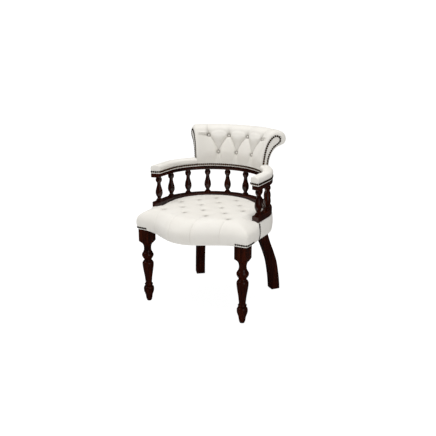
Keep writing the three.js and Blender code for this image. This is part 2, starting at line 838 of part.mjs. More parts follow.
// Arms: the bent board lies on the upper rail, and the pads cover its top, sides and ends
const armBoardSection = ringBox(armBoardInnerRadius, armBoardOuterRadius, armBoardBottom + gap, armBoardTop);
const armBoardStations = ringStations(-galleryEndAngle, galleryEndAngle, armPadEndCover, -armPadEndCover);
addPiece('arm_board', bend(armBoardSection, armBoardStations), 'frame_wood');

const armPadWidth = armPadOuterRadius - armPadInnerRadius;
const armPadShares = [
  [0, 0], [-0.03, 0.32], [-0.04, 0.60], [0.02, 0.82], [0.13, 0.95], [0.5, 1.0],
  [0.87, 0.95], [0.99, 0.82], [1.04, 0.60], [1.02, 0.32], [1, 0],
];

function armPad() {
  const section = armPadShares.map(([across, rise]) => new THREE.Vector2(
    armPadInnerRadius + across * armPadWidth,
    armBoardBottom + gap + rise * armPadHeight,
  ));
  const start = facingThickness + 2 * gap;
  const body = solid(bend(section, ringStations(backEndAngle, galleryEndAngle, start, 0)));
  const room = ringBox(
    armBoardInnerRadius - gap,
    armBoardOuterRadius + gap,
    armBoardBottom - cutOverrun,
    armBoardTop + gap,
  );
  const stations = ringStations(0, galleryEndAngle, 0, gap - armPadEndCover);
  return surface(body.subtract(solid(bend(room, stations))));
}

addPair('arm_pad', armPad(), 'leather');

// Back: places in its section, up over the rise and across over what a line has left of the sweep
const sectionPlace = (footRadius, [across, rise]) => new THREE.Vector2(
  footRadius + across * (backFaceRadius + backSweep - footRadius),
  armBoardBottom + gap + rise * (backRise - gap),
);

const backFrontShares = [
  [0, 0], [-0.013, 0.10], [-0.02, 0.195], [-0.017, 0.285], [0, 0.365],
  [0.03, 0.46], [0.07, 0.56], [0.117, 0.657], [0.174, 0.758],
  [0.235, 0.85], [0.33, 0.935], [0.47, 0.985], [0.62, 1.0], [0.77, 0.985],
  [0.90, 0.94], [0.98, 0.87], [1, 0.79], [0.93, 0.70], [0.77, 0.65],
];
const lowerTuftIndex = 4;
const upperTuftIndex = 8;
const lastTuftedIndex = 12;
const backRearShares = [
  [0, 0], [0.006, 0.068], [-0.0225, 0.145], [-0.0466, 0.245], [-0.0195, 0.33],
  [0.0752, 0.452], [0.2331, 0.552], [0.4286, 0.615], [0.6241, 0.648],
];
const rollHeadShares = [0.70, 0.785];
const rollHeadStartAngle = -50;
const rollHeadEndAngle = 215;
const rollHeadStepCount = 5;

const backFront = backFrontShares.map((shares) => sectionPlace(backFaceRadius, shares));
const backRear = backRearShares.map((shares) => sectionPlace(backRearRadius, shares));

// The panel stands on the arm board, follows the rear line, and ends in a round head in the roll
function backPanelLoop() {
  const rear = above(offsetLine(backRear, outsideBackThickness + gap), armBoardTop + gap);
  const front = above(
    offsetLine(backRear, outsideBackThickness + gap + backPanelThickness),
    armBoardTop + gap,
  ).slice(0, -1);
  const centre = sectionPlace(backFaceRadius, rollHeadShares);
  const head = [];
  for (let k = 0; k <= rollHeadStepCount; k++) {
    const turn = radians(mix(rollHeadStartAngle, rollHeadEndAngle, k / rollHeadStepCount));
    head.push(centre.clone().add(new THREE.Vector2(
      rollHeadRadius * Math.cos(turn),
      rollHeadRadius * Math.sin(turn),
    )));
  }
  return { loop: [...rear, ...head, ...front.reverse()], rearCount: rear.length };
}

const backStations = ringStations(-backEndAngle, backEndAngle);
const backPanel = backPanelLoop();
addPiece('back_panel', bend(backPanel.loop, backStations), 'frame_wood');

// The cushion wraps the panel from the arm board, up the front and over the head
const backCushionInner = (() => {
  const clear = offsetLine(backPanel.loop, -gap, true).slice(backPanel.rearCount - 1);
  const top = armBoardTop + gap;
  const last = clear.pop();
  return [
    ...clear,
    new THREE.Vector2(last.x, top),
    new THREE.Vector2(armBoardInnerRadius - gap, top),
    new THREE.Vector2(armBoardInnerRadius - gap, armBoardBottom + gap),
  ];
})();

const backLoop = [...backFront, ...backCushionInner];
const backNormals = offsetLine(backLoop, -1, true).map((point, k) => point.sub(backLoop[k]).normalize());

// Lengths up the face and along the bend, measured from the lower row of tufts
const backLengths = (() => {
  const lengths = [0];
  for (let k = 1; k < backFront.length; k++) {
    lengths.push(lengths[k - 1] + backFront[k].distanceTo(backFront[k - 1]));
  }
  return lengths;
})();
const alongBend = (angle) => radians(angle) * backFaceRadius;

const backTufts = [
  ...[-2, 0, 2].map((column) => ({ column, place: lowerTuftIndex })),
  ...[-3, -1, 1, 3].map((column) => ({ column, place: upperTuftIndex })),
];
const tuftOnFace = ({ column, place }) => new THREE.Vector2(
  alongBend(column * backTuftPitchAngle),
  backLengths[place],
);

const backCreases = (() => {
  const lines = [];
  for (const low of backTufts.filter((tuft) => tuft.place === lowerTuftIndex)) {
    for (const high of backTufts.filter((tuft) => tuft.place === upperTuftIndex)) {
      if (Math.abs(low.column - high.column) === 1) {
        lines.push([tuftOnFace(low), tuftOnFace(high)]);
      }
    }
  }
  for (const tuft of backTufts) {
    const from = tuftOnFace(tuft);
    const end = tuft.place === lowerTuftIndex ? 0 : backLengths[lastTuftedIndex];
    lines.push([from, new THREE.Vector2(from.x, end)]);
  }
  return lines;
})();

const backTuftSize = {
  tuftDepth: backTuftDepth,
  tuftReach: backTuftReach,
  creaseDepth: backCreaseDepth,
  creaseReach: backCreaseReach,
};

function backDepth(angle, place) {
  if (place === 0 || place > lastTuftedIndex) {
    return 0;
  }
  const onFace = new THREE.Vector2(alongBend(angle), backLengths[place]);
  const fade = Math.min(1, place / 2, (lastTuftedIndex + 1 - place) / 3);
  return fade * tuftDepth(onFace, backTufts.map(tuftOnFace), backCreases, backTuftSize);
}

function backCushion() {
  const step = backTuftPitchAngle / 4;
  const inner = Math.round((backEndAngle - step) / step) * step;
  const stations = [{ angle: -backEndAngle }];
  for (let angle = -inner; angle <= inner; angle += step) {
    stations.push({ angle });
  }
  stations.push({ angle: backEndAngle });
  const isEnd = ({ angle }) => Math.abs(angle) === backEndAngle;
  const sectionAt = (station) => backLoop.map((point, k) => {
    if (k === 0 || k >= backFront.length - 1) {
      return point.clone();
    }
    const depth = isEnd(station) ? backEndRounding : backDepth(station.angle, k);
    return point.clone().addScaledVector(backNormals[k], depth);
  });
  return loft(
    stations,
    sectionAt,
    (point, station) => ringPoint(point.x, point.y, station),
    (station, k) => (k < backFront.length ? backDepth(station.angle, k) : 0),
  );
}

addPiece('back_cushion', backCushion(), 'leather');

backTufts.forEach(({ column, place }, k) => {
  const angle = column * backTuftPitchAngle;
  const a = radians(angle);
  const pit = backFront[place].clone().addScaledVector(backNormals[place], backDepth(angle, place));
  const normal = backNormals[place].clone().negate();
  const outward = new THREE.Vector3(normal.x * Math.sin(a), normal.x * Math.cos(a), normal.y);
  addButton(`back_button_${k + 1}`, ringPoint(pit.x, pit.y, { angle }), outward);
});

// Outside back: padded card behind the panel, down over the rear of the arm board
function outsideBackLoop() {
  const inner = above(offsetLine(backRear, outsideBackThickness), armBoardTop + gap);
  return [
    ...backRear,
    ...inner.reverse(),
    new THREE.Vector2(armBoardOuterRadius + gap, armBoardTop + gap),
    new THREE.Vector2(armBoardOuterRadius + gap, armBoardBottom + gap),
  ];
}

addPiece('outside_back', bend(outsideBackLoop(), backStations), 'leather');

// Facings: flat scrolls that close the ends of the back, notched over the arm board
function facing() {
  const outline = [...backFront, ...[...backRear].reverse()];
  const inset = offsetLine(outline, -facingInset, true);
  const foot = armBoardBottom + gap;
  const notch = [
    [armBoardOuterRadius + 2 * gap, foot],
    [armBoardOuterRadius + 2 * gap, armBoardTop + gap],
    [armBoardInnerRadius - 2 * gap, armBoardTop + gap],
    [armBoardInnerRadius - 2 * gap, foot],
  ].map(([r, z]) => new THREE.Vector2(r, z));
  inset[0].y = foot;
  inset[inset.length - 1].y = foot;
  const shape = new THREE.Shape([...inset, ...notch]);
  const geometry = new THREE.ExtrudeGeometry(shape, { depth: facingThickness, bevelEnabled: false });
  const a = radians(backEndAngle);
  const radial = new THREE.Vector3(Math.sin(a), Math.cos(a), 0);
  const tangent = new THREE.Vector3(Math.cos(a), -Math.sin(a), 0);
  const placed = new THREE.Matrix4().makeBasis(radial, up, tangent);
  placed.setPosition(tangent.clone().multiplyScalar(gap).add(new THREE.Vector3(0, galleryCentreY, 0)));
  return geometry.applyMatrix4(placed);
}

addPair('facing', facing(), 'leather');

// The origin is on the floor, under the middle of the chair
chair.updateMatrixWorld(true);
const extent = new THREE.Box3().setFromObject(chair, true);
chair.position.y = -(extent.min.y + extent.max.y) / 2;
chair.updateMatrixWorld(true);

export default chair;
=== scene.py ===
import json
import math

import bpy
import numpy as np
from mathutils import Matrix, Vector

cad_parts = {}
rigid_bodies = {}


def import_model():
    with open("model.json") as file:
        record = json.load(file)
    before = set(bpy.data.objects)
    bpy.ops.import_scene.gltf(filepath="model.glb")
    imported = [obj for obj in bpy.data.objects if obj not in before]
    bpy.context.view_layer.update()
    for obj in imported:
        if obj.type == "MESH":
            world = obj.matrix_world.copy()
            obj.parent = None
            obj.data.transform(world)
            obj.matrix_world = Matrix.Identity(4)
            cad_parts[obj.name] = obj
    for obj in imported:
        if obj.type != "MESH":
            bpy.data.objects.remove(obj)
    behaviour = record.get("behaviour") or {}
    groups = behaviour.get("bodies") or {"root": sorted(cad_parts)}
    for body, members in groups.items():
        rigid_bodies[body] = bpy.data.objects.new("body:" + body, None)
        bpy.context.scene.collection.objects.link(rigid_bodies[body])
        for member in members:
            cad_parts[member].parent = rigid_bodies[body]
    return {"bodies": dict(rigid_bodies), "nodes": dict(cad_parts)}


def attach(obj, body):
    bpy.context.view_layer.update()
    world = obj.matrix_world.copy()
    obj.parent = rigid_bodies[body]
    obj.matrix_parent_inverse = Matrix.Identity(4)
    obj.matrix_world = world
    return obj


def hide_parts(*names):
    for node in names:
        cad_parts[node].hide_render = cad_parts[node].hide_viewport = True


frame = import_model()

# Captains chair: a buttoned leather seat and a rolled back on a bowed gallery of turned spindles.
# Sizes are millimetres in the frame's axes and become metres when a mesh is made.
# What the empty file holds beside the frame goes first.
for stray in list(bpy.data.objects):
    if stray not in [*frame["nodes"].values(), *frame["bodies"].values()]:
        bpy.data.objects.remove(stray)
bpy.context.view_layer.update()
mm = 0.001

gallery = {
    "centreY": -34.25,      # centre of the bend, +Y is behind the sitter
    "endAngle": 105.0,      # front ends of the arms, in degrees from the rear
    "backAngle": 45.0,      # ends of the back
    "straightShare": 0.987, # the arms run straight ahead at this share of the radius
    "straightPower": 140.0, # how tightly the circle turns into the straight
}


def smoothStep(value, low, high):
    # 3t^2 - 2t^3 of the share of the way from low to high
    t = np.clip((value - low) / (high - low), 0.0, 1.0)
    return t * t * (3.0 - 2.0 * t)


def falloff(distance, reach, power=2):
    # exp(-(distance / reach)^power)
    return np.exp(-(distance / reach) ** power)


def softLess(a, b, reach):
    # the smaller of two heights, blended over reach: -reach * log(exp(-a/reach) + exp(-b/reach))
    low = np.minimum(a, b)
    return low - reach * np.log(np.exp(-(a - low) / reach) + np.exp(-(b - low) / reach))


def softMore(values, power=5.0):
    # the largest of several depths, blended: the power-th root of the sum of their powers
    total = sum(np.maximum(value, 0.0) ** power for value in values)
    return total ** (1.0 / power)


def hermite(knots, values, slopes, where):
    # cubic between knots that meets each value and slope
    k = np.clip(np.searchsorted(knots, where, side="right") - 1, 0, len(knots) - 2)
    step = (knots[k + 1] - knots[k])[:, None]
    t = (where[:, None] - knots[k][:, None]) / step
    return (
        (2 * t**3 - 3 * t**2 + 1) * values[k]
        + (t**3 - 2 * t**2 + t) * step * slopes[k]
        + (3 * t**2 - 2 * t**3) * values[k + 1]
        + (t**3 - t**2) * step * slopes[k + 1]
    )


def lengthsAlong(points):
    # distance from the first point, along the line
    steps = np.linalg.norm(np.diff(points, axis=0), axis=1)
    return np.concatenate([[0.0], np.cumsum(steps)])


def unit(vectors):
    # rows of vectors made one long
    return vectors / np.linalg.norm(vectors, axis=1)[:, None]


def quarter(count):
    # turns of a quarter circle
    return np.linspace(0.0, math.pi / 2, count)


def atLengths(line, lengths, where):
    # the line's points at these distances along it
    return np.stack([np.interp(where, lengths, line[:, k]) for k in range(line.shape[1])], 1)


def lineThrough(points, count, fine=12):
    # a smooth line through the points, each tangent taken from its neighbours, spaced evenly
    points = np.asarray(points, float)
    knots = lengthsAlong(points)
    slopes = np.gradient(points, knots, axis=0)
    where = np.linspace(0.0, knots[-1], len(points) * fine)
    dense = hermite(knots, points, slopes, where)
    lengths = lengthsAlong(dense)
    return atLengths(dense, lengths, np.linspace(0.0, lengths[-1], count))


def risingLine(knots, values, where):
    # a cubic through the values that never overshoots: harmonic mean of the slopes each side
    knots, values = np.asarray(knots, float), np.asarray(values, float)
    slope = np.diff(values) / np.diff(knots)
    before, after = slope[:-1], slope[1:]
    product = before * after
    both = np.where(before + after == 0, 1, before + after)
    inner = np.where(product > 0, 2 * product / both, 0.0)
    slopes = np.concatenate([[slope[0]], inner, [slope[-1]]])
    return hermite(knots, values[:, None], slopes[:, None], np.asarray(where, float))[:, 0]


def onGallery(radius, height, angle, slide=0.0):
    # circle about the centre whose radius is capped by straightShare / |sin|, slid along the tangent;
    # past a quarter turn the cap alone holds, which runs straight ahead
    a = np.radians(angle)
    power = gallery["straightPower"]
    side = np.abs(np.sin(a))
    curved = (1.0 + (side / gallery["straightShare"]) ** power) ** (-1.0 / power)
    straight = (1.0 + gallery["straightShare"] ** -power) ** (-1.0 / power) / np.maximum(side, 0.1)
    r = radius * np.where(np.abs(angle) > 90.0, straight, curved)
    return np.stack(np.broadcast_arrays(
        r * np.sin(a) + slide * np.cos(a),
        gallery["centreY"] + r * np.cos(a) - slide * np.sin(a),
        np.asarray(height, float),
    ), -1)


def carried(rows, angle, slide=0.0):
    # rows of (radius, height) taken to an angle round the gallery
    return onGallery(rows[..., 0], rows[..., 1], angle, slide)


def withInside(rows, inside):
    # each row closed by the same line behind it
    return np.concatenate([rows, np.broadcast_to(inside[None], rows.shape)], 1)


def fullTurn(sides):
    # directions spread evenly round a circle
    return np.linspace(0.0, 2 * math.pi, sides, endpoint=False)


def roundedBox(left, right, bottom, top, radius, steps=5):
    # a rectangle with a quarter circle at each corner
    turns = quarter(steps + 1)
    centres = [
        (right - radius, bottom + radius, -math.pi / 2), (right - radius, top - radius, 0.0),
        (left + radius, top - radius, math.pi / 2), (left + radius, bottom + radius, math.pi),
    ]
    return np.concatenate([
        np.stack([x + radius * np.cos(turns + start), y + radius * np.sin(turns + start)], 1)
        for x, y, start in centres
    ])


def gridFaces(rows, columns, closed):
    # four corners to each cell of a grid, the last column joined to the first when closed
    row = np.arange(rows - 1)[:, None]
    column = np.arange(columns if closed else columns - 1)[None, :]
    after = (column + 1) % columns
    corners = [row * columns + column, row * columns + after,
               (row + 1) * columns + after, (row + 1) * columns + column]
    return np.stack([corner.reshape(-1) for corner in np.broadcast_arrays(*corners)], 1)


def faceNormals(points, faces):
    # cross product of the diagonals, as long as the face is large
    corners = [points[faces[:, k]] for k in (0, 1, 2, -1)]
    return np.cross(corners[2] - corners[0], corners[3] - corners[1])


def volumeOf(points, faces):
    # a sixth of the triple products of the faces' triangles, summed
    corners = [points[faces[:, k]] for k in range(faces.shape[1])]
    return sum(np.einsum("ij,ij->i", corners[0], np.cross(second, third)).sum()
               for second, third in zip(corners[1:], corners[2:])) / 6.0


def pointNormals(points, faceSets):
    # the faces round each point, summed and made one long
    normals = np.zeros_like(points)
    for faces in faceSets:
        flat = faceNormals(points, faces)
        for corner in range(faces.shape[1]):
            np.add.at(normals, faces[:, corner], flat)
    return normals / np.maximum(np.linalg.norm(normals, axis=1), 1e-9)[:, None]


def outward(points, faceSets):
    # all faces turned round if the body they close counts as hollow
    if sum(volumeOf(points, faces) for faces in faceSets) < 0:
        return [faces[:, ::-1] for faces in faceSets]
    return faceSets


def addObject(name, data):
    # a new object that shows the data in the scene
    thing = bpy.data.objects.new(name, data)
    bpy.context.scene.collection.objects.link(thing)
    return thing


def makeMesh(name, points, faceSets, material, attributes=None, sharpAngle=None):
    # millimetres become metres and faces turn outward; smooth but where sharper than sharpAngle
    faceSets = outward(points, faceSets)
    mesh = bpy.data.meshes.new(name)
    corners = [face for faces in faceSets for face in faces.tolist()]
    mesh.from_pydata((points * mm).tolist(), [], corners)
    mesh.polygons.foreach_set("use_smooth", np.ones(len(mesh.polygons), bool))
    if sharpAngle:
        mesh.set_sharp_from_angle(angle=math.radians(sharpAngle))
    for key, values in (attributes or {}).items():
        layer = mesh.attributes.new(key, "FLOAT", "POINT")
        layer.data.foreach_set("value", np.asarray(values, np.float32))
    mesh.materials.append(material)
    mesh.validate()
    mesh.update()
    return addObject(name, mesh)


def closeEnds(rows, columns, points, ends):
    # "fan" meets in a middle point, "zip" joins each column to the one that mirrors it
    extra, triangles, quads = [], [], []
    for row, turned in ((0, True), (rows - 1, False)):
        start = row * columns
        if ends == "fan":
            middle = len(points) + len(extra)
            extra.append(points[start:start + columns].mean(0))
            k = np.arange(columns)
            ring = np.stack([start + k, start + (k + 1) % columns, np.full(columns, middle)], 1)
            triangles.append(ring[:, ::-1] if turned else ring)
        if ends == "zip":
            k = np.arange(columns // 2 - 1)
            near = np.stack([start + k, start + k + 1,
                             start + columns - 2 - k, start + columns - 1 - k], 1)
            quads.append(near[:, ::-1] if turned else near)
    if extra:
        points = np.concatenate([points, extra])
    return points, quads, triangles


def makeBody(name, grid, material, ends="fan", attributes=None, sharpAngle=None):
    # a closed body from rows of closed outlines
    rows, columns = grid.shape[:2]
    points, quads, triangles = closeEnds(rows, columns, grid.reshape(-1, 3), ends)
    faceSets = [np.concatenate([gridFaces(rows, columns, True)] + quads)]
    if triangles:
        faceSets.append(np.concatenate(triangles))
    if attributes:
        added = len(points) - rows * columns
        attributes = {key: np.concatenate([np.ravel(values), np.zeros(added)])
                      for key, values in attributes.items()}
    return makeMesh(name, points, faceSets, material, attributes, sharpAngle)


def mirrored(grid):
    # the other side of the chair
    return grid * np.array([-1.0, 1.0, 1.0])


def fit(piece, nodes=()):
    # hangs a finished piece on the chair's one body
    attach(piece, "root")
    if nodes:
        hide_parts(*nodes)
    return piece


def fitPair(name, grid, material, slot, node, fill=None, **settings):
    # the same body on both sides of the chair
    for side, half in (("right", grid), ("left", mirrored(grid))):
        fit(makeBody(f"{name}_{side}", half, material, **settings), [f"{node}_{side}"])


class Wire:
    # a node's output that takes part in sums: each operator adds a Math node to the tree

    def __init__(self, tree, socket):
        self.tree, self.socket = tree, socket

    def calculate(self, operation, *parts):
        node = self.tree.nodes.new("ShaderNodeMath")
        node.operation = operation
        for place, part in enumerate(parts):
            if isinstance(part, Wire):
                self.tree.links.new(part.socket, node.inputs[place])
            else:
                node.inputs[place].default_value = part
        return Wire(self.tree, node.outputs[0])

    def __add__(self, other):
        return self.calculate("ADD", self, other)

    def __radd__(self, other):
        return self.calculate("ADD", other, self)

    def __sub__(self, other):
        return self.calculate("SUBTRACT", self, other)

    def __rsub__(self, other):
        return self.calculate("SUBTRACT", other, self)

    def __mul__(self, other):
        return self.calculate("MULTIPLY", self, other)

    def __rmul__(self, other):
        return self.calculate("MULTIPLY", other, self)

    def __pow__(self, other):
        return self.calculate("POWER", self, other)

    def limited(self, low, high):
        return self.calculate("MINIMUM", self.calculate("MAXIMUM", self, low), high)


class Finish:
    # a material or world being wired up; add makes any node from its type, settings and inputs

    def __init__(self, name, store=None):
        self.made = (bpy.data.materials if store is None else store).new(name)
        self.made.use_nodes = True
        self.tree = self.made.node_tree
        self.tree.nodes.clear()

    def add(self, kind, settings=None, inputs=None, output=0):
        node = self.tree.nodes.new(kind)
        for key, value in (settings or {}).items():
            if key == "stops":
                for place, (position, colour) in enumerate(value):
                    stop = node.color_ramp.elements
                    element = stop[place] if place < 2 else stop.new(position)
                    element.position, element.color = position, (*colour, 1.0)
            else:
                setattr(node, key, value)
        for key, value in (inputs or {}).items():
            if isinstance(value, Wire):
                self.tree.links.new(value.socket, node.inputs[key])
            else:
                node.inputs[key].default_value = value
        return Wire(self.tree, node.outputs[output])

    def place(self, scale=(1.0, 1.0, 1.0), turn=(0.0, 0.0, 0.0)):
        where = self.add("ShaderNodeTexCoord", output="Object")
        return self.add("ShaderNodeMapping", None, {"Vector": where, "Scale": scale, "Rotation": turn})

    def noise(self, where, scale, detail=3.0, roughness=0.5):
        return self.add("ShaderNodeTexNoise", None, {
            "Vector": where, "Scale": scale, "Detail": detail, "Roughness": roughness})

    def ramp(self, value, stops):
        return self.add("ShaderNodeValToRGB", {"stops": stops}, {"Fac": value})

    def blend(self, share, first, second):
        # Mix in colour mode: sockets 6 and 7 are its two colours and output 2 the result
        paint = [part if isinstance(part, Wire) else (*part, 1.0) for part in (first, second)]
        return self.add("ShaderNodeMix", {"data_type": "RGBA"}, {0: share, 6: paint[0], 7: paint[1]}, 2)

    def attribute(self, name):
        return self.add("ShaderNodeAttribute", {"attribute_name": name}, output="Fac")

    def bump(self, height, strength, distance, normal=None):
        # relief a distance in metres high at most, on top of an earlier one
        inputs = {"Height": height, "Strength": strength, "Distance": distance}
        if normal:
            inputs["Normal"] = normal
        return self.add("ShaderNodeBump", None, inputs)

    def close(self, **sockets):
        shader = self.add("ShaderNodeBsdfPrincipled", None, {
            key.replace("_", " "): value for key, value in sockets.items()}, "BSDF")
        return self.show(shader)

    def show(self, shader, kind="ShaderNodeOutputMaterial"):
        output = self.tree.nodes.new(kind)
        self.tree.links.new(shader.socket, output.inputs["Surface"])
        return self.made


woodLook = {
    "stops": [(0.34, (0.0085, 0.0012, 0.0003)), (0.52, (0.026, 0.0034, 0.0005)),
              (0.70, (0.060, 0.0076, 0.0010))],
    "roughness": 0.18, "smeared": 0.10, "roughRange": (0.1, 0.6), "gloss": 0.42,
    # shares of streaks, pores and cloud in the tone, and what is taken off it
    "tone": (0.75, 0.15, 0.25, 0.08),
    # noise: scale, detail, roughness; bump: strength, distance
    "streaks": (1.0, 5.0, 0.62), "pores": (4.6, 3.0, 0.7), "cloud": (9.0, 2.0), "smear": (38.0, 3.0),
    "poreBump": (0.12, 0.0006),
}


def polishedWood(name, stretch, turn=(0.0, 0.0, 0.0)):
    # streaks drawn out along the grain, fine pores between them, under a gloss finish
    look, finish = woodLook, Finish(name)
    along = finish.place(stretch, turn)
    streaks = finish.noise(along, *look["streaks"])
    pores = finish.noise(along, *look["pores"])
    cloud = finish.noise(finish.place(), *look["cloud"])
    drawn, fine, broad, less = look["tone"]
    tone = (streaks * drawn + pores * fine + cloud * broad - less).limited(0.0, 1.0)
    smear = finish.noise(finish.place(), *look["smear"])
    bump = finish.bump(pores, *look["poreBump"])
    return finish.close(
        Base_Color=finish.ramp(tone, look["stops"]),
        Roughness=(smear * look["smeared"] + look["roughness"] - look["smeared"] / 2).limited(
            *look["roughRange"]),
        Specular_IOR_Level=look["gloss"],
        Normal=bump,
    )


leatherLook = {
    # the last colour is painted shade, laid into the hollows, creases and round the buttons
    "light": (0.865, 0.838, 0.785), "shade": (0.80, 0.768, 0.705), "hollowShade": (0.21, 0.19, 0.16),
    # mottled and dulled: what fine creasing and hollows add to the roughness
    "roughness": 0.46, "mottled": 0.14, "dulled": 0.12, "roughRange": (0.2, 0.9), "gloss": 0.42,
    # shade: gain and what is taken off; then the painted shade in the hollows: power of the hollow,
    # least, spread; grain: shares
    "shadeDrift": (1.6, 0.35), "paintedShade": (1.3, 0.72, 0.3), "grain": (0.7, 0.5),
    "drift": (7.0, 2.0), "fine": (420.0, 3.0, 0.6), "cellScale": 620.0, "broad": (46.0, 4.0, 0.55),
    "slackBump": (0.20, 0.0022), "grainBump": (0.16, 0.0005),
}


def softLeather(name):
    # pebbled grain of small cells with finer creasing, tone drifting across the hide, and painted shade
    # laid into the hollows, creases and round the buttons
    look, finish = leatherLook, Finish(name)
    where = finish.place()
    drift = finish.noise(where, *look["drift"])
    fine = finish.noise(where, *look["fine"])
    cells = finish.add("ShaderNodeTexVoronoi", {"feature": "F1"}, {
        "Vector": where, "Scale": look["cellScale"], "Randomness": 1.0})
    hollowShade = finish.attribute("hollowShade")
    (gain, less), (power, least, spread) = look["shadeDrift"], look["paintedShade"]
    base = finish.blend((drift * gain - less).limited(0.0, 1.0), look["light"], look["shade"])
    # painted shade: the colour goes darker as the hollow attribute rises, broken up by fine noise
    paintedShade = (hollowShade ** power * (least + fine * spread)).limited(0.0, 1.0)
    colour = finish.blend(paintedShade, base, look["hollowShade"])
    slack = finish.bump(finish.noise(where, *look["broad"]), *look["slackBump"])
    cellShare, fineShare = look["grain"]
    grain = finish.bump(cells * cellShare + fine * fineShare, *look["grainBump"], slack)
    rough = look["roughness"] + fine * look["mottled"] - look["mottled"] / 2 + hollowShade * look["dulled"]
    return finish.close(
        Base_Color=colour,
        Roughness=rough.limited(*look["roughRange"]),
        Specular_IOR_Level=look["gloss"],
        Normal=grain,
    )


brassLook = {
    "bright": (0.15, 0.062, 0.014), "dark": (0.016, 0.006, 0.002), "roughness": 0.36,
    # shares of crown and patches in the rub, and what is taken off; scratches and rub in the roughness
    "rub": (0.75, 0.9, 0.42), "rough": (0.22, 0.1, 0.06), "roughRange": (0.15, 0.8),
    "patch": (90.0, 3.0, 0.6), "scratch": (900.0, 2.0), "scratchBump": (0.1, 0.0002),
}


def agedBrass(name):
    # rubbed bright on the crowns of the heads, dark round their edges and from nail to nail
    look, finish = brassLook, Finish(name)
    where = finish.place()
    patch = finish.noise(where, *look["patch"])
    crown, patchy, less = look["rub"]
    rub = (finish.attribute("crown") * crown + patch * patchy - less).limited(0.0, 1.0)
    scratch = finish.noise(where, *look["scratch"])
    scratched, offset, rubbed = look["rough"]
    rough = look["roughness"] + scratch * scratched - offset - rub * rubbed
    return finish.close(
        Base_Color=finish.blend(rub, look["dark"], look["bright"]),
        Metallic=1.0,
        Roughness=rough.limited(*look["roughRange"]),
        Normal=finish.bump(scratch, *look["scratchBump"]),
    )


timberLook = {
    "rings": (1.4, 4.0, 0.6), "ringStretch": (9.0, 9.0, 60.0),
    "fuzz": (1.0, 2.0), "fuzzStretch": (30.0, 30.0, 400.0), "fuzzBump": (0.3, 0.0006),
    "roughness": 0.72, "roughened": 0.2,
    "stops": [(0.3, (0.42, 0.27, 0.13)), (0.5, (0.55, 0.37, 0.19)), (0.75, (0.62, 0.45, 0.26))],
}


def plainTimber(name):
    # pale sawn beech: long faint rings and a rough face
    look, finish = timberLook, Finish(name)
    rings = finish.noise(finish.place(look["ringStretch"]), *look["rings"])
    colour = finish.ramp(rings, look["stops"])
    fuzz = finish.noise(finish.place(look["fuzzStretch"]), *look["fuzz"])
    return finish.close(
        Base_Color=colour,
        Roughness=(look["roughness"] + fuzz * look["roughened"]).limited(0.0, 1.0),
        Normal=finish.bump(fuzz, *look["fuzzBump"]),
    )


clothLook = {
    "distortion": 0.6, "detail": 1.0, "lint": (300.0, 2.0), "weaveBump": (0.5, 0.0008),
    "weaveShare": 0.8, "lintShare": 0.3, "roughness": 0.85, "roughened": 0.12,
}


def wovenCloth(name, light, dark, threads):
    # a plain weave of two waves at right angles: a(1 - b) + b(1 - a) is the thread on top
    look, finish = clothLook, Finish(name)
    where = finish.place()
    waves = [finish.add("ShaderNodeTexWave", {"bands_direction": axis}, {
        "Vector": where, "Scale": threads, "Distortion": look["distortion"], "Detail": look["detail"],
    }, 1) for axis in ("X", "Y")]
    weave = waves[0] * (1.0 - waves[1]) + waves[1] * (1.0 - waves[0])
    lint = finish.noise(where, *look["lint"])
    tone = (weave * look["weaveShare"] + lint * look["lintShare"]).limited(0.0, 1.0)
    return finish.close(
        Base_Color=finish.blend(tone, dark, light),
        Roughness=(look["roughness"] + lint * look["roughened"]).limited(0.0, 1.0),
        Normal=finish.bump(weave, *look["weaveBump"]),
    )


uprightWood = polishedWood("mahogany_upright", (85.0, 85.0, 5.0))
bentWood = polishedWood("mahogany_bent", (11.0, 11.0, 120.0))
leather = softLeather("ivory_leather")
brass = agedBrass("aged_brass")
timber = plainTimber("sawn_timber")
strapCloth = wovenCloth("jute_strap", (0.20, 0.14, 0.075), (0.07, 0.045, 0.024), 260.0)
dustCloth = wovenCloth("black_dust_cloth", (0.030, 0.030, 0.034), (0.008, 0.008, 0.009), 420.0)

# the CAD nodes that stay, by how their names begin
hiddenMaterials = {
    "seat_webbing": strapCloth, "dust_cover": dustCloth, "seat_rail": timber, "front_corner": timber,
    "rear_corner": timber, "arm_board": timber, "back_panel": timber,
}
for nodeName, node in frame["nodes"].items():
    for start, material in hiddenMaterials.items():
        if nodeName.startswith(start) and node.data.materials:
            node.data.materials[0] = material
print("materials made")


frontLeg = {
    "x": 267.07, "y": -211.25, "blockSide": 62.0, "turnedLength": 324.0, "top": 387.0,
    "postSide": 38.0, "postTop": 436.3, "squareness": 22.0, "sides": 128, "levels": 300,
    "blend": 34.0, "ease": 1.2, "blockStart": 2.0, "blockEnd": 30.0,
    # height over the turned length, radius over half the block
    "turningShares": [
        (0.00, 0.34), (0.006, 0.38), (0.03, 0.475), (0.05, 0.52), (0.09, 0.575), (0.13, 0.705),
        (0.17, 0.83), (0.20, 0.85), (0.225, 0.815), (0.247, 0.66), (0.259, 0.525), (0.263, 0.53),
        (0.269, 0.64), (0.278, 0.69), (0.287, 0.64), (0.293, 0.53), (0.300, 0.515), (0.32, 0.535),
        (0.40, 0.615), (0.475, 0.735), (0.55, 0.855), (0.61, 0.92), (0.627, 0.925), (0.645, 0.88),
        (0.664, 0.76), (0.678, 0.625), (0.688, 0.595), (0.700, 0.63), (0.719, 0.755), (0.744, 0.90),
        (0.769, 0.955), (0.796, 0.86), (0.824, 0.69), (0.852, 0.605), (0.883, 0.585), (0.914, 0.625),
        (0.948, 0.76), (0.969, 0.95), (0.988, 1.20), (1.00, 1.43),
    ],
}


def squareRadius(turn, half, power):
    # radius of |x|^p + |y|^p = half^p at a turn
    return half / (np.abs(np.cos(turn)) ** power + np.abs(np.sin(turn)) ** power) ** (1.0 / power)


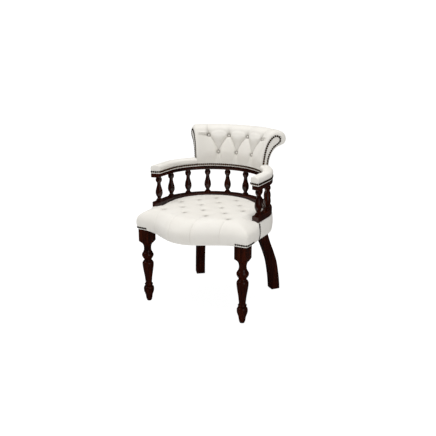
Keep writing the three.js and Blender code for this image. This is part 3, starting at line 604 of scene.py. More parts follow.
def frontLegGrid(size):
    # radius is the lesser of the turning's and the block's, (t^-p + b^-p)^(-1/p) with p the blend
    half, top, power = size["blockSide"] / 2, size["top"], size["blend"]
    shares = np.array(size["turningShares"])
    heights = np.linspace(0.0, size["turnedLength"], size["levels"])
    turning = risingLine(shares[:, 0] * size["turnedLength"], shares[:, 1] * half, heights)[:, None]
    turn = fullTurn(size["sides"])[None, :]
    block = squareRadius(turn, half, size["squareness"])
    radius = (turning ** -power + block ** -power) ** (-1.0 / power)
    eased = squareRadius(turn, half - size["ease"], size["squareness"])
    post = squareRadius(turn, size["postSide"] / 2, size["squareness"])
    blockHeights = (size["turnedLength"] + size["blockStart"],
                    top - size["blockEnd"], top - size["ease"])
    rows = [(radius, heights)] + [(block, np.array([height])) for height in blockHeights]
    rows += [(eased, np.array([top])), (post, np.array([top])), (post, np.array([size["postTop"]]))]
    radii = np.concatenate([np.broadcast_to(r, (len(z), size["sides"])) for r, z in rows])
    levels = np.concatenate([z for _, z in rows])[:, None]
    return np.stack([
        size["x"] + radii * np.cos(turn), size["y"] + radii * np.sin(turn),
        np.broadcast_to(levels, radii.shape)], -1)


fitPair("turned_leg", frontLegGrid(frontLeg), uprightWood, "mahogany", "front_leg", sharpAngle=38)

rearLeg = {
    "footX": 230.02, "footY": 244.8, "side": 49.0, "sweep": 106.0, "turn": 38.0, "height": 387.0,
    "squareness": 16.0, "sides": 96, "levels": 90, "footEase": 0.006, "footShare": 0.94,
    # height over the whole, distance in from the foot over the sweep
    "curveShares": [(0.0, 0.0), (0.115, 0.035), (0.23, 0.09), (0.40, 0.205), (0.555, 0.39),
                    (0.70, 0.60), (0.81, 0.735), (1.0, 1.0)],
}


def rearLegGrid(size):
    # a square with rounded edges carried up the sweep, turned to face the chair's diagonal
    shares = np.array(size["curveShares"])
    rise = np.linspace(0.0, 1.0, size["levels"])
    inward = risingLine(shares[:, 0], shares[:, 1], rise) * size["sweep"]
    turn = fullTurn(size["sides"])
    radius = squareRadius(turn, size["side"] / 2, size["squareness"])
    ease = np.interp(rise, [0.0, size["footEase"], 1.0], [size["footShare"], 1.0, 1.0])[:, None]
    a = math.radians(size["turn"])
    u, v = radius * np.cos(turn) * ease, radius * np.sin(turn) * ease - inward[:, None]
    return np.stack([
        size["footX"] + u * math.cos(a) + v * math.sin(a),
        size["footY"] - u * math.sin(a) + v * math.cos(a),
        np.broadcast_to((rise * size["height"])[:, None], u.shape)], -1)


fitPair("swept_leg", rearLegGrid(rearLeg), uprightWood, "mahogany", "rear_leg", sharpAngle=50)

rails = {
    "inner": 262.0, "outer": 302.0, "edge": 3.6, "edgeSteps": 6, "endEdge": 1.6, "endSteps": 5,
    "stations": 240,
    # bottom, top, and how far past the gallery's end the rail runs, in degrees
    "lower": (470.0, 497.0, 0.0), "upper": (624.0, 645.0, 1.0),
}


def railGrid(size, bottom, top, past):
    # a rounded box carried round the gallery, drawn in by a quarter round at both ends
    section = roundedBox(size["inner"], size["outer"], bottom, top, size["edge"], size["edgeSteps"])
    middle = section.mean(0)
    half = (section.max(0) - section.min(0)) / 2
    turns = quarter(size["endSteps"])
    end = gallery["endAngle"] + past
    short = np.degrees(size["endEdge"] * (1 - np.sin(turns)) / ((size["inner"] + size["outer"]) / 2))
    body = np.linspace(-end, end, size["stations"])[2:-2]
    angles = np.concatenate([short[::-1] - end, body, end - short])
    drawIn = size["endEdge"] * (1 - np.cos(turns))
    inset = np.concatenate([drawIn[::-1], np.zeros(len(body)), drawIn])
    return carried(middle + (section - middle) * (1 - inset[:, None, None] / half), angles[:, None])


for name in ("lower", "upper"):
    rail = makeBody(f"gallery_{name}_rail", railGrid(rails, *rails[name]), bentWood, sharpAngle=60)
    fit(rail, [f"{name}_rail"])

spindles = {
    "ring": 282.0, "count": 10, "pitch": 22.0, "diameter": 36.0, "bottom": 497.3, "top": 623.7,
    "sides": 48, "levels": 130,
    # height over the length, radius over half the diameter
    "turningShares": [
        (0.0, 0.90), (0.012, 0.93), (0.035, 0.90), (0.06, 0.78), (0.085, 0.63), (0.105, 0.53),
        (0.125, 0.52), (0.145, 0.56), (0.17, 0.65), (0.24, 0.88), (0.33, 1.0), (0.43, 0.94),
        (0.52, 0.78), (0.60, 0.62), (0.69, 0.53), (0.745, 0.54), (0.765, 0.60), (0.775, 0.69),
        (0.80, 0.78), (0.845, 0.87), (0.885, 0.88), (0.925, 0.82), (0.945, 0.72), (0.957, 0.67),
        (0.972, 0.70), (1.0, 0.70),
    ],
}


def spindleGrid(size, angle):
    # a turned profile about a post that stands on the gallery's middle line
    shares = np.array(size["turningShares"])
    rise = np.linspace(0.0, 1.0, size["levels"])
    radius = risingLine(shares[:, 0], shares[:, 1], rise)[:, None] * size["diameter"] / 2
    turn = fullTurn(size["sides"])[None, :]
    a = math.radians(angle)
    x = size["ring"] * math.sin(a) + radius * np.cos(turn)
    y = gallery["centreY"] + size["ring"] * math.cos(a) + radius * np.sin(turn)
    z = size["bottom"] + rise * (size["top"] - size["bottom"])
    return np.stack([x, y, np.broadcast_to(z[:, None], x.shape)], -1)


for number in range(spindles["count"]):
    angle = (number - (spindles["count"] - 1) / 2) * spindles["pitch"]
    grid = spindleGrid(spindles, angle)
    piece = makeBody(f"turned_spindle_{number + 1:02d}", grid, uprightWood, sharpAngle=48)
    fit(piece, [f"spindle_{number + 1:02d}"])
print("legs, rails and spindles made")


# how far forward the arms reach, along the spindles' line
armFrontY = onGallery(spindles["ring"], 0.0, gallery["endAngle"])[1]

seat = {
    "cornerX": 300.0, "frontY": -242.25, "bowDepth": 97.0, "bowHalf": 265.0, "cornerRound": 12.0,
    "roomTop": 436.9, "leather": 7.6, "lining": 1.5, "wall": 261.6, "fill": 0.8,
    # the crown, what it loses at the rear and at the sides, and how far in that starts
    "crown": 496.0, "rearDrop": 20.0, "rearFall": 47.0, "rearRadius": 265.7,
    "sideDrop": 38.0, "sideFall": 105.0, "besideEase": 0.34, "besideReach": (26.0, 3.0),
    # inset from the plan and height of the side, from the bottom edge up to the crown
    "sideLine": [(0.0, 387.3), (-5.0, 399.0), (-8.5, 420.0), (-5.5, 443.0), (7.0, 465.0), (29.0, 485.0),
                 (55.0, 500.0), (80.0, 513.0)],
    # the inside of the side: the share of the levels up to its foot, then a wall that leans inward
    "footShare": 0.35, "wallTop": 470.0, "wallRise": 14.0, "wallRound": 3.0, "wallSlope": 0.6,
    "innerReach": 40.0, "floorAhead": 28.0,
    # by the rails' ends the side stands up to cover the frame
    "cover": 14.0, "coverY": (40.0, 4.0), "coverX": (262.0, 275.0), "coverZ": (422.0, 458.0),
    "patchEdge": 516.0, "patchRise": 90.0, "blend": 5.0,
    "levels": 46, "frontCount": 120, "cornerCount": 10, "sideCount": 70, "stepCount": 22,
    "wingCount": 70, "wingEnd": 60.0, "frontFine": 600, "crowd": 1.6, "crowdReach": 7.0,
    "sideBulge": 3.5, "bulgeInset": 20.0,
    # how the plan follows its inset: the corner's rounding inward and outward, its depth, the step
    "roundGain": (0.5, 0.8), "cornerDepth": 0.95, "notchStart": 0.5, "notchGain": 0.35,
    # the buttons' lattice: half steps, the front row's place and the columns of each row
    "tuftX": 59.0, "tuftY": 78.75, "firstRowY": -185.25, "rows": [(1, 3), (0, 2), (1, 3), (0, 2), (1,)],
    "pitDepth": 15.0, "pitReach": 8.5, "pitPower": 1.7, "star": 0.22, "starReach": (2.0, 12.0),
    "dishDepth": 4.5, "dishReach": 24.0, "dishPower": 1.5,
    "ringReach": 9.5, "ringPower": 3, "ringShade": 0.6, "depthPower": 3.0,
    "creaseDepth": 3.0, "creaseReach": 9.0, "creaseMiddle": 0.25, "creaseBow": 1.3, "creaseRound": 0.8,
    "pleatDepth": 2.6, "pleatReach": 2.0, "pleatBroad": 0.06, "pleatBroadReach": 14.0,
    "pleatStart": (4.0, 16.0), "pleatFoot": (386.0, 410.0), "pleatColumns": (-3, -1, 1, 3),
    # slack: height of the waves, their length, the seed of their directions
    "slack": [(0.55, 60.0, 3), (0.25, 22.0, 4)], "slackTop": (440.0, 470.0), "slackSide": 0.4,
}


def bowAt(size, x):
    # half a cosine wave from the corners to the middle of the front
    share = np.minimum(np.abs(x) / size["bowHalf"], 1.0)
    return size["frontY"] - size["bowDepth"] * (1 + np.cos(math.pi * share)) / 2


def frontXs(size, frontEnd):
    # places along the front edge, 1 + crowd * falloff times as dense at a pleat
    spread = np.linspace(0.0, 1.0, size["frontFine"]) * frontEnd
    dense = 1.0 + size["crowd"] * sum(
        falloff(spread - column * size["tuftX"], size["crowdReach"])
        for column in size["pleatColumns"] if column > 0)
    along = np.concatenate([[0.0], np.cumsum((dense[1:] + dense[:-1]) / 2)])
    return np.interp(np.linspace(0.0, along[-1], size["frontCount"] + 1)[:-1], along, spread)


def halfPlan(size, inset, innerInset):
    # front edge, corner, side, step at the arm's end, and the gallery's circle, for one inset
    reach = size["cornerX"] - inset
    rounding = size["cornerRound"] + size["roundGain"][0 if inset > 0 else 1] * abs(inset)
    frontEnd = reach - rounding
    x = frontXs(size, frontEnd)
    front = np.stack([x, bowAt(size, x) + inset], 1)
    # the corner is a parabola between the front's tangent and the side
    start = np.array([frontEnd, bowAt(size, frontEnd) + inset])
    step = 1.0
    slope = (bowAt(size, frontEnd + step) - bowAt(size, frontEnd - step)) / (2 * step)
    elbow = np.array([reach, start[1] + slope * rounding])
    end = elbow + np.array([0.0, rounding * size["cornerDepth"]])
    t = np.linspace(0.0, 1.0, size["cornerCount"] + 1)[:-1, None]
    corner = start * (1 - t) ** 2 + elbow * 2 * t * (1 - t) + end * t ** 2
    share = np.linspace(0.0, 1.0, size["stepCount"] + 1)
    outer, inner = rails["outer"] - inset, size["wall"] - innerInset
    forward = size["notchStart"] + size["notchGain"] * max(inset, 0.0) * (1 - share)
    notch = onGallery(outer + (inner - outer) * share, 0.0, gallery["endAngle"], forward)[:, :2]
    t = np.linspace(0.0, 1.0, size["sideCount"] + 1)[:-1, None]
    side = end + (notch[0] - end) * t
    if inset < size["bulgeInset"]:
        side[:, 0] += size["sideBulge"] * np.sin(math.pi * t[:, 0])
    wing = np.linspace(gallery["endAngle"], size["wingEnd"], size["wingCount"] + 1)[:-1]
    rear = np.linspace(size["wingEnd"], 0.0, size["frontCount"] + size["cornerCount"] // 2 + 1)
    circle = onGallery(inner, 0.0, np.concatenate([wing, rear]))[:, :2]
    circle[0] = notch[-1]
    return np.concatenate([front, corner, side, notch[:-1], circle])


def wholePlan(half):
    # the half and its mirror image as one closed line
    other = half[1:-1][::-1] * np.array([-1.0, 1.0])
    return np.concatenate([half, other])


def seatCrown(size, x, y):
    # the crown less its fall to the gallery behind the arm fronts, or to the sides
    radius = np.hypot(x, y - gallery["centreY"])
    inward = smoothStep(radius, size["rearRadius"] - size["rearFall"], size["rearRadius"])
    behind = smoothStep(y, armFrontY - size["rearFall"], armFrontY)
    beside = np.maximum(0.0, np.abs(x) - (size["cornerX"] - size["sideFall"])) / size["sideFall"]
    far, near = size["besideReach"]
    beside = beside ** 2 * (1 - size["besideEase"] * smoothStep(y, armFrontY - far, armFrontY - near))
    return size["crown"] - softMore([size["rearDrop"] * inward * behind, size["sideDrop"] * beside])


def coonsPatch(low, high, left, right):
    # the sum of two ruled surfaces less the one through the corners
    u = np.linspace(0.0, 1.0, len(low))[None, :, None]
    v = np.linspace(0.0, 1.0, len(left))[:, None, None]
    ruled = (1 - v) * low[None] + v * high[None] + (1 - u) * left[:, None] + u * right[:, None]
    corners = (1 - v) * ((1 - u) * low[0] + u * low[-1]) + v * ((1 - u) * high[0] + u * high[-1])
    return ruled - corners


def seatTufts(size):
    # places of the buttons, on every other crossing of the lattice
    spots = []
    for row, columns in enumerate(size["rows"]):
        for column in sorted({sign * column for column in columns for sign in (-1, 1)}):
            spots.append((column * size["tuftX"], size["firstRowY"] + row * size["tuftY"]))
    return np.array(spots)


def distanceToRun(points, start, end):
    # distance to a straight run, and the share of the way along it
    run = end - start
    share = np.clip(((points - start) @ run) / (run @ run), 0.0, 1.0)
    return np.linalg.norm(points - start - share[:, None] * run, axis=1), share


def neighbours(spots, across, along, slack=0.2):
    # pairs of tufts one half step apart both ways
    pairs = []
    for first in spots:
        for second in spots:
            gapX, gapY = abs(first[0] - second[0]) / across, (second[1] - first[1]) / along
            if abs(gapX - 1) < slack and abs(gapY - 1) < slack:
                pairs.append((first, second))
    return pairs


def nearest(flat, spots):
    # distance from each point to the nearest spot
    return np.min([np.linalg.norm(flat - spot, axis=1) for spot in spots], axis=0)


def seatDepth(size, points):
    # pits, the dish round each, creases along the diamonds and pleats running forward, each of
    # them falling off with the exponential of its distance
    flat = points[:, :2]
    spots = seatTufts(size)
    pits, creases, pleats = np.zeros((3, len(points)))
    for spot in spots:
        offset = flat - spot
        r = np.linalg.norm(offset, axis=1)
        turn = np.arctan2(offset[:, 1], offset[:, 0])
        star = 1.0 + size["star"] * np.cos(4 * turn + math.pi) * smoothStep(r, *size["starReach"])
        pits = np.maximum(pits, falloff(r * star, size["pitReach"], size["pitPower"]))
    for start, end in neighbours(spots, size["tuftX"], size["tuftY"]):
        r, share = distanceToRun(flat, start, end)
        middle = size["creaseMiddle"]
        bow = middle + (1 - middle) * np.abs(2 * share - 1) ** size["creaseBow"]
        r = np.sqrt(r * r + size["creaseRound"])
        creases = np.maximum(creases, bow * falloff(r, size["creaseReach"], 1))
    first, full = size["pleatStart"]
    forward = smoothStep(-flat[:, 1], -size["firstRowY"] - first, -size["firstRowY"] + full)
    for column in size["pleatColumns"]:
        r = np.abs(flat[:, 0] - column * size["tuftX"])
        broad = size["pleatBroad"] * falloff(r, size["pleatBroadReach"])
        fold = falloff(r, size["pleatReach"], 1) + broad
        pleats = np.maximum(pleats, fold * forward)
    dishes = falloff(nearest(flat, spots), size["dishReach"], size["dishPower"])
    return softMore([
        size["pitDepth"] * pits + size["dishDepth"] * dishes,
        size["creaseDepth"] * creases,
        size["pleatDepth"] * pleats * smoothStep(points[:, 2], *size["pleatFoot"]),
    ], size["depthPower"])


ripples = {"waves": 7, "spread": (0.7, 1.5), "phase": 6.3}


def ripple(points, scale, seed):
    # a few crossed sine waves with seeded directions and phases
    draw = np.random.default_rng(seed)
    total = np.zeros(len(points))
    for _ in range(ripples["waves"]):
        direction = draw.normal(size=3)
        direction /= np.linalg.norm(direction)
        length = scale * draw.uniform(*ripples["spread"])
        phase = draw.uniform(0, ripples["phase"])
        total += np.sin(points @ direction * 2 * math.pi / length + phase)
    return total / ripples["waves"]


def slackOf(points, waves):
    # one ripple for each (height, length, seed)
    return [height * ripple(points, length, seed) for height, length, seed in waves]


def seatRings(size):
    # plan and height of each ring up the side, its inside following a leaning wall
    rings, heights = [], []
    first = size["frontCount"] + size["cornerCount"] + size["sideCount"]
    for k, (inset, height) in enumerate(lineThrough(size["sideLine"], size["levels"])):
        q = k / (size["levels"] - 1)
        innerInset = size["innerReach"] * max(0.0, (q - size["footShare"]) / (1 - size["footShare"]))
        rise = size["wallRise"] * (1 - math.exp(-innerInset / size["wallRound"]))
        wallTop = size["wallTop"] + rise + innerInset * size["wallSlope"]
        innerHeight = size["roomTop"] + (wallTop - size["roomTop"]) * min(1.0, q / size["footShare"])
        half = halfPlan(size, inset, innerInset)
        share = np.ones(len(half))
        share[:first] = 0.0
        share[first:first + size["stepCount"]] = np.arange(size["stepCount"]) / size["stepCount"]
        level = height + (innerHeight - height) * share
        rings.append(wholePlan(half))
        heights.append(np.concatenate([level, level[1:-1][::-1]]))
    rings, heights = np.array(rings), np.array(heights)
    far, near = size["coverY"]
    cover = (smoothStep(rings[..., 1], armFrontY - far, armFrontY - near)
             * smoothStep(np.abs(rings[..., 0]), *size["coverX"]))
    heights = heights + size["cover"] * cover * smoothStep(heights, *size["coverZ"])
    tops = softLess(heights, seatCrown(size, rings[..., 0], rings[..., 1]), size["blend"])
    return np.concatenate([rings, tops[..., None]], -1), len(half)


def seatTop(size, outer, halfCount):
    # a Coons patch inside the last ring, lifted to the crown; its border takes the ring's points
    rows, columns = outer.shape[:2]
    cornerA = size["frontCount"] + size["cornerCount"] // 2
    cornerB = halfCount - 1 - cornerA
    front = np.r_[columns - cornerA:columns, 0:cornerA + 1]
    rear = np.arange(cornerB, columns - cornerB + 1)[::-1]
    right = np.arange(cornerA, cornerB + 1)
    left = np.arange(columns - cornerB, columns - cornerA + 1)[::-1]
    patch = coonsPatch(*(outer[-1, run, :2] for run in (front, rear, left, right)))
    v = np.linspace(0.0, 1.0, patch.shape[0])[:, None]
    u = np.linspace(0.0, 1.0, patch.shape[1])[None, :]
    edge = np.minimum(np.minimum(u, 1 - u), np.minimum(v, 1 - v))
    crown = seatCrown(size, patch[..., 0], patch[..., 1])
    lifted = softLess(size["patchEdge"] + size["patchRise"] * edge, crown, size["blend"])
    index = np.full(patch.shape[:2], -1)
    ringStart = (rows - 1) * columns
    index[0, :], index[-1, :] = ringStart + front, ringStart + rear
    index[:, -1], index[:, 0] = ringStart + right, ringStart + left
    inner = index < 0
    index[inner] = rows * columns + np.arange(inner.sum())
    faces = np.stack([index[:-1, :-1], index[:-1, 1:], index[1:, 1:], index[1:, :-1]], -1)
    return np.concatenate([patch, lifted[..., None]], -1)[inner], faces.reshape(-1, 4)


def seatFloor(size, edgeHeights, start):
    # the leather turns in, climbs inside the frame and closes over the webbing
    columns = len(edgeHeights)
    plan = wholePlan(halfPlan(size, size["leather"], size["lining"]))
    low = np.concatenate([plan, np.minimum(edgeHeights, size["roomTop"])[:, None]], 1)
    high = np.concatenate([plan, np.full((columns, 1), size["roomTop"])], 1)
    middle = np.array([[0.0, gallery["centreY"] - size["floorAhead"], size["roomTop"]]])
    k = np.arange(columns)
    after = (k + 1) % columns
    turnIn = np.stack([k, start + k, start + after, after], 1)
    climbIn = np.stack([start + k, start + columns + k, start + columns + after, start + after], 1)
    last = np.full(columns, start + 2 * columns)
    floor = np.stack([start + columns + k, last, start + columns + after], 1)
    return np.concatenate([low, high, middle]), [turnIn, climbIn], floor


def seatCushionMesh(size):
    # rings up the side, the patch over the crown, both pressed in along their normals, and a floor
    outer, halfCount = seatRings(size)
    rows, columns = outer.shape[:2]
    inside, patchFaces = seatTop(size, outer, halfCount)
    points = np.concatenate([outer.reshape(-1, 3), inside])
    shown = [gridFaces(rows, columns, True), patchFaces]
    normals = pointNormals(points, shown)
    depth = seatDepth(size, points)
    high = smoothStep(points[:, 2], *size["slackTop"])
    broad, fine = slackOf(points, size["slack"])
    wave = broad + fine * (size["slackSide"] + high)
    up = np.sign((normals[:, 2] * high).sum())
    points = points - up * normals * (depth + wave)[:, None]
    away = nearest(points[:, :2], seatTufts(size))
    # painted shade: the leather is marked darker with its depth and in a ring round each button
    rings = size["ringShade"] * falloff(away, size["ringReach"], size["ringPower"])
    hollowShade = np.clip(depth / (size["pitDepth"] + size["dishDepth"]) + rings, 0.0, 1.0)
    under, quads, floor = seatFloor(size, outer[0, :, 2], len(points))
    hollowShade = np.concatenate([hollowShade, np.zeros(len(under))])
    return np.concatenate([points, under]), [np.concatenate(shown + quads), floor], hollowShade


points, faceSets, hollowShade = seatCushionMesh(seat)
cushion = makeMesh("buttoned_seat", points, faceSets, leather, {"hollowShade": hollowShade}, 70)
fit(cushion, ["seat_cushion"])
print("seat cushion made")


band = {
    "inner": 294.0, "outer": 302.0, "bottom": 387.0, "top": 469.7, "swell": 5.0,
    "seamAngle": 103.4, "seamReach": 1.6, "seamDepth": 1.8, "seamBroad": 0.5, "seamBroadReach": 7.0,
    "swellPower": 0.7, "pinchPower": 0.3, "slack": [(0.5, 46.0, 8)],
    "stations": 420, "levels": 30, "shade": 0.8, "fill": 0.7,
}


def bandGrid(size):
    # a strip that swells by a power of the sine of its height's share, pinched at both seams
    angles = np.linspace(-gallery["endAngle"], gallery["endAngle"], size["stations"])[:, None]
    share = np.linspace(0.0, 1.0, size["levels"])[None, :]
    arch = np.sin(math.pi * share)
    arc = (np.abs(angles) - size["seamAngle"]) * math.radians(size["outer"])
    broad = size["seamBroad"] * falloff(arc, size["seamBroadReach"])
    pinch = falloff(np.abs(arc), size["seamReach"], 1) + broad
    height = size["bottom"] + share * (size["top"] - size["bottom"]) + 0 * angles
    place = onGallery(size["outer"], height, angles)
    wave = slackOf(place.reshape(-1, 3), size["slack"])[0].reshape(height.shape) * arch
    swell = size["swell"] * arch ** size["swellPower"]
    radius = size["outer"] + swell + wave - size["seamDepth"] * pinch * arch ** size["pinchPower"]
    radius = np.concatenate([radius, np.full_like(radius, size["inner"])], 1)
    # painted shade along the pinched seams
    hollowShade = np.broadcast_to(np.clip(pinch, 0, 1), height.shape)
    return (onGallery(radius, np.concatenate([height, height[:, ::-1]], 1), angles),
            np.concatenate([hollowShade, np.zeros_like(hollowShade)], 1))


grid, hollowShade = bandGrid(band)
fit(makeBody("seat_band", grid, leather, "zip", {"hollowShade": hollowShade * band["shade"]}, 60),
    ["seat_outer_band"])

armPad = {
    "inner": 254.0, "outer": 301.0, "bottom": 645.3, "height": 42.0, "startSlide": 5.6,
    "boardInner": 263.7, "boardOuter": 294.3, "boardTop": 666.6, "endCover": 6.0,
    "overhang": 7.0, "endGap": 2.0, "endRound": 6.0, "endSteps": 10, "endDraw": 0.62,
    "stations": 150, "lineCount": 72,
    "footShare": 0.36, "dipShare": 0.31, "dipReach": 2.2, "shade": 0.6, "fill": 0.8,
    # shares of the inside's outline at which the board's corners stand
    "boardShares": (0.0, 0.32, 0.68, 1.0),
    # slack: height of the waves, their length, the seed of their directions
    "slack": [(1.1, 74.0, 12), (0.5, 27.0, 13)], "slackRise": (18.0, 34.0), "slackEnd": (-3.0, 12.0),
    # across over the width, up over the height; the dip is the row of nails
    "sectionShares": [
        (0.0, 0.0), (0.0, 0.12), (-0.004, 0.22), (0.012, 0.31), (-0.012, 0.40), (-0.035, 0.52),
        (-0.038, 0.64), (-0.015, 0.76), (0.04, 0.865), (0.13, 0.945), (0.27, 0.985), (0.5, 1.0),
        (0.73, 0.985), (0.87, 0.945), (0.96, 0.865), (1.015, 0.76), (1.038, 0.64), (1.035, 0.52),
        (1.012, 0.40), (0.988, 0.31), (1.004, 0.22), (1.0, 0.12), (1.0, 0.0),
    ],
}


def padSection(size):
    # the pad's outside from one foot over the top to the other
    line = lineThrough(size["sectionShares"], size["lineCount"])
    across = size["inner"] + line[:, 0] * (size["outer"] - size["inner"])
    return np.stack([across, size["bottom"] + line[:, 1] * size["height"]], 1)


def padStations(size):
    # distance to the pad's front end at each station, closer together towards the end
    turns = quarter(size["endSteps"])
    near = size["endRound"] * (1 - np.sin(turns))[::-1]
    radius = (size["inner"] + size["outer"]) / 2
    length = math.radians(gallery["endAngle"] - gallery["backAngle"]) * radius - size["startSlide"]
    far = np.linspace(length, near[-1] - size["overhang"] + size["endGap"], size["stations"])
    return np.concatenate([far, near[::-1] - size["overhang"]]), radius


def padGrid(size):
    # the section carried along the arm; over the last stretch it draws in by a quarter circle
    section = padSection(size)
    distances, radius = padStations(size)
    middle = np.array([(size["inner"] + size["outer"]) / 2, size["bottom"]])
    extent = np.array([(size["outer"] - size["inner"]) / 2, size["height"]])
    t = np.clip(1 - (distances + size["overhang"]) / size["endRound"], 0.0, 1.0)
    inset = size["endDraw"] * size["endRound"] * (1 - np.sqrt(1 - t * t))
    outside = middle + (section - middle) * (1 - inset[:, None, None] / extent)
    foot = section[:, 1] - size["bottom"] < size["footShare"] * size["height"]
    outside[:, foot, 1] = section[foot, 1]
    share = np.linspace(0.0, 1.0, size["lineCount"])
    bottom, top = size["bottom"], size["boardTop"]
    board = np.stack([
        np.interp(share, size["boardShares"], [size["boardInner"]] * 2 + [size["boardOuter"]] * 2),
        np.interp(share, size["boardShares"], [bottom, top, top, bottom])], 1)
    inside = np.broadcast_to(board, outside.shape).copy()
    inside[distances < size["endCover"], :, 1] = bottom
    rows = np.concatenate([outside, inside[:, ::-1]], 1)
    angles = gallery["endAngle"] - np.degrees(distances / radius)
    grid = carried(rows, angles[:, None])
    flat = grid.reshape(-1, 3)
    normals = pointNormals(flat, [gridFaces(*grid.shape[:2], True)])
    # the slack waves the top and the sides alone
    low, high = size["slackRise"]
    loose = smoothStep(flat[:, 2], bottom + low, bottom + high)
    loose *= np.repeat(smoothStep(distances, *size["slackEnd"]), grid.shape[1])
    loose *= np.tile(np.arange(grid.shape[1]) < size["lineCount"], len(distances))
    wave = sum(slackOf(flat, size["slack"]))
    flat = flat + np.sign((normals[:, 2] * loose).sum()) * normals * (wave * loose)[:, None]
    # painted shade along the dip that holds the row of nails
    dip = falloff(section[:, 1] - bottom - size["dipShare"] * size["height"], size["dipReach"])
    hollowShade = np.concatenate([dip, dip * 0])[None, :] * np.ones((len(distances), 1))
    return flat.reshape(grid.shape), hollowShade


grid, hollowShade = padGrid(armPad)
fitPair("arm_cushion", grid, leather, "leather", "arm_pad", armPad["fill"],
        ends="zip", attributes={"hollowShade": hollowShade * armPad["shade"]}, sharpAngle=75)
print("band and arm pads made")

back = {
    "face": 259.0, "sweep": 134.0, "bottom": 645.3, "rise": 209.5,
    "stations": 250, "lineCount": 210, "endRows": 12, "endPlane": 5.0, "endGap": 1.0, "fill": 0.85,
    # across over the sweep, up over the rise, from the foot up the face and round the roll
    "faceShares": [
        (0, 0), (-0.013, 0.10), (-0.02, 0.195), (-0.017, 0.285), (0, 0.365), (0.03, 0.46), (0.07, 0.56),
        (0.117, 0.657), (0.174, 0.758), (0.235, 0.85), (0.33, 0.935), (0.47, 0.985), (0.62, 1.0),
        (0.77, 0.985), (0.90, 0.94), (0.98, 0.87), (1.0, 0.79), (0.93, 0.70), (0.77, 0.65),
    ],
    # how far the ends are rounded over, for the same places
    "endRounding": [4, 4, 4, 6, 9, 10, 10.5, 12, 14, 17, 20, 22, 24, 25, 25, 24, 20, 12, 5],
    "roomLine": [
        (263.7, 645.3), (263.7, 666.6), (286.6, 666.6), (286.0, 670.6), (283.9, 694.1), (286.4, 715.0),
        (294.9, 744.2), (309.7, 769.2), (328.6, 785.5), (332.9, 803.4), (330.9, 816.7), (340.5, 826.5),
        (354.0, 824.7), (360.8, 812.8), (355.4, 800.4), (350.5, 784.8),
    ],
    # each row of buttons: its place on the line and its columns, in steps of tuftAngle
    "tufts": [(4, (-2, 0, 2)), (8.2, (-3, -1, 1, 3))], "tuftAngle": 10.5, "lastPlace": 13,
    # the puffs: powers for arch and V that say how full a narrow one stands, where the V's fill up,
    # the bulge's powers under and over the upper buttons, and how it eases off up and down
    "puffDepth": 17.0, "archPower": 0.72, "fullPowers": (0.6, 0.95), "fullRise": (0.0, 0.5),
    "bulgePowers": (2.0, 1.5), "climbPower": 1.3, "climbEase": 0.8, "dropEase": 0.9,
    "besideArch": 0.55, "besideReach": (26.0, 9.0), "besidePower": 1.2,
    "pitDepth": 10.0, "pitReach": 8.5, "pitPower": 1.7, "most": 25.0, "mostBlend": 2.0,
    # painted shade darkens the leather: between the puffs, round the buttons and in the gullies over
    # them
    "creaseShade": 0.26, "creasePower": 1.5, "ringShade": 1.1, "ringReach": 10.5, "ringPower": 3,
    "gullyShade": 0.42, "shadePower": 2.0,
    "gullyWidth": (6.0, 0.26), "gullyLength": 40.0, "gullyStart": (-3.0, 6.0),
    "browDepth": 1.5, "browReach": 7.5, "browRise": 25.0, "browWidth": 0.80, "browPower": 3.2,
    "fanDepth": 6.0, "fanReach": 4.5, "fanLeans": (-0.34, 0.34), "fanRound": 0.5, "fanEase": 1.5,
    "fanStart": (0.0, 8.0), "lipDepth": 2.8, "lipRise": (3.0, 0.10), "lipReach": (9.0, 2.2),
    "lipSwell": (0.9, 6.0, 4.0), "lipStart": (0.0, 8.0),
    "fade": (22.0, 20.0, 30.0), "endFade": (-4.0, 14.0),
}


def sectionPlace(shares):
    # shares of the back's sweep and rise as radius and height
    shares = np.asarray(shares, float)
    return np.stack([back["face"] + shares[:, 0] * back["sweep"],
                     back["bottom"] + shares[:, 1] * back["rise"]], 1)


def lineNormals(line):
    # the left-hand normal of a line, from the chord of its neighbours
    chord = unit(np.gradient(line, axis=0))
    return np.stack([-chord[:, 1], chord[:, 0]], 1)


faceKnots = sectionPlace(back["faceShares"])
faceLine = lineThrough(faceKnots, back["lineCount"])
faceLengths = lengthsAlong(faceLine)
knotLengths = np.array([
    faceLengths[np.argmin(np.linalg.norm(faceLine - knot, axis=1))] for knot in faceKnots])
endRounding = np.interp(faceLengths, knotLengths, back["endRounding"])
faceInward = lineNormals(faceLine)
faceInward = faceInward * np.sign(faceInward[len(faceInward) // 3, 0])


def backTufts(size):
    # (length along the bend, length up the face) of the seven buttons
    return np.array([(math.radians(k * size["tuftAngle"]) * size["face"],
                      np.interp(place, np.arange(len(knotLengths)), knotLengths))
                     for place, columns in size["tufts"] for k in columns])


def puffHeight(size, across, aside, fall, climb, drop):
    # the root of 1 - share^power, as wide as the room between the creases: a pointed arch hangs
    # from each upper button, and a V stands on each lower one and runs on over the roll
    arch = np.clip(fall, 0.0, 1.0) ** size["archPower"]
    archWidth, vWidth = np.maximum(across * arch, 0.5), np.maximum(across * (1 - arch), 0.5)
    inArch = aside < archWidth
    share = np.clip(np.where(inArch, aside / archWidth, (across - aside) / vWidth), 0.0, 1.0)
    width = np.where(inArch, archWidth, vWidth) / across
    archFull, vFull = size["fullPowers"]
    inV = 1 - (1 - width ** vFull) * smoothStep(fall, *size["fullRise"])
    bulge = share ** np.where(fall > 0, *size["bulgePowers"])
    puff = np.where(inArch, width ** archFull, inV) * np.sqrt(np.maximum(1 - bulge, 0.0))
    return 1 - (1 - puff) * (1 - climb) ** size["climbEase"] * (1 - drop) ** size["dropEase"]


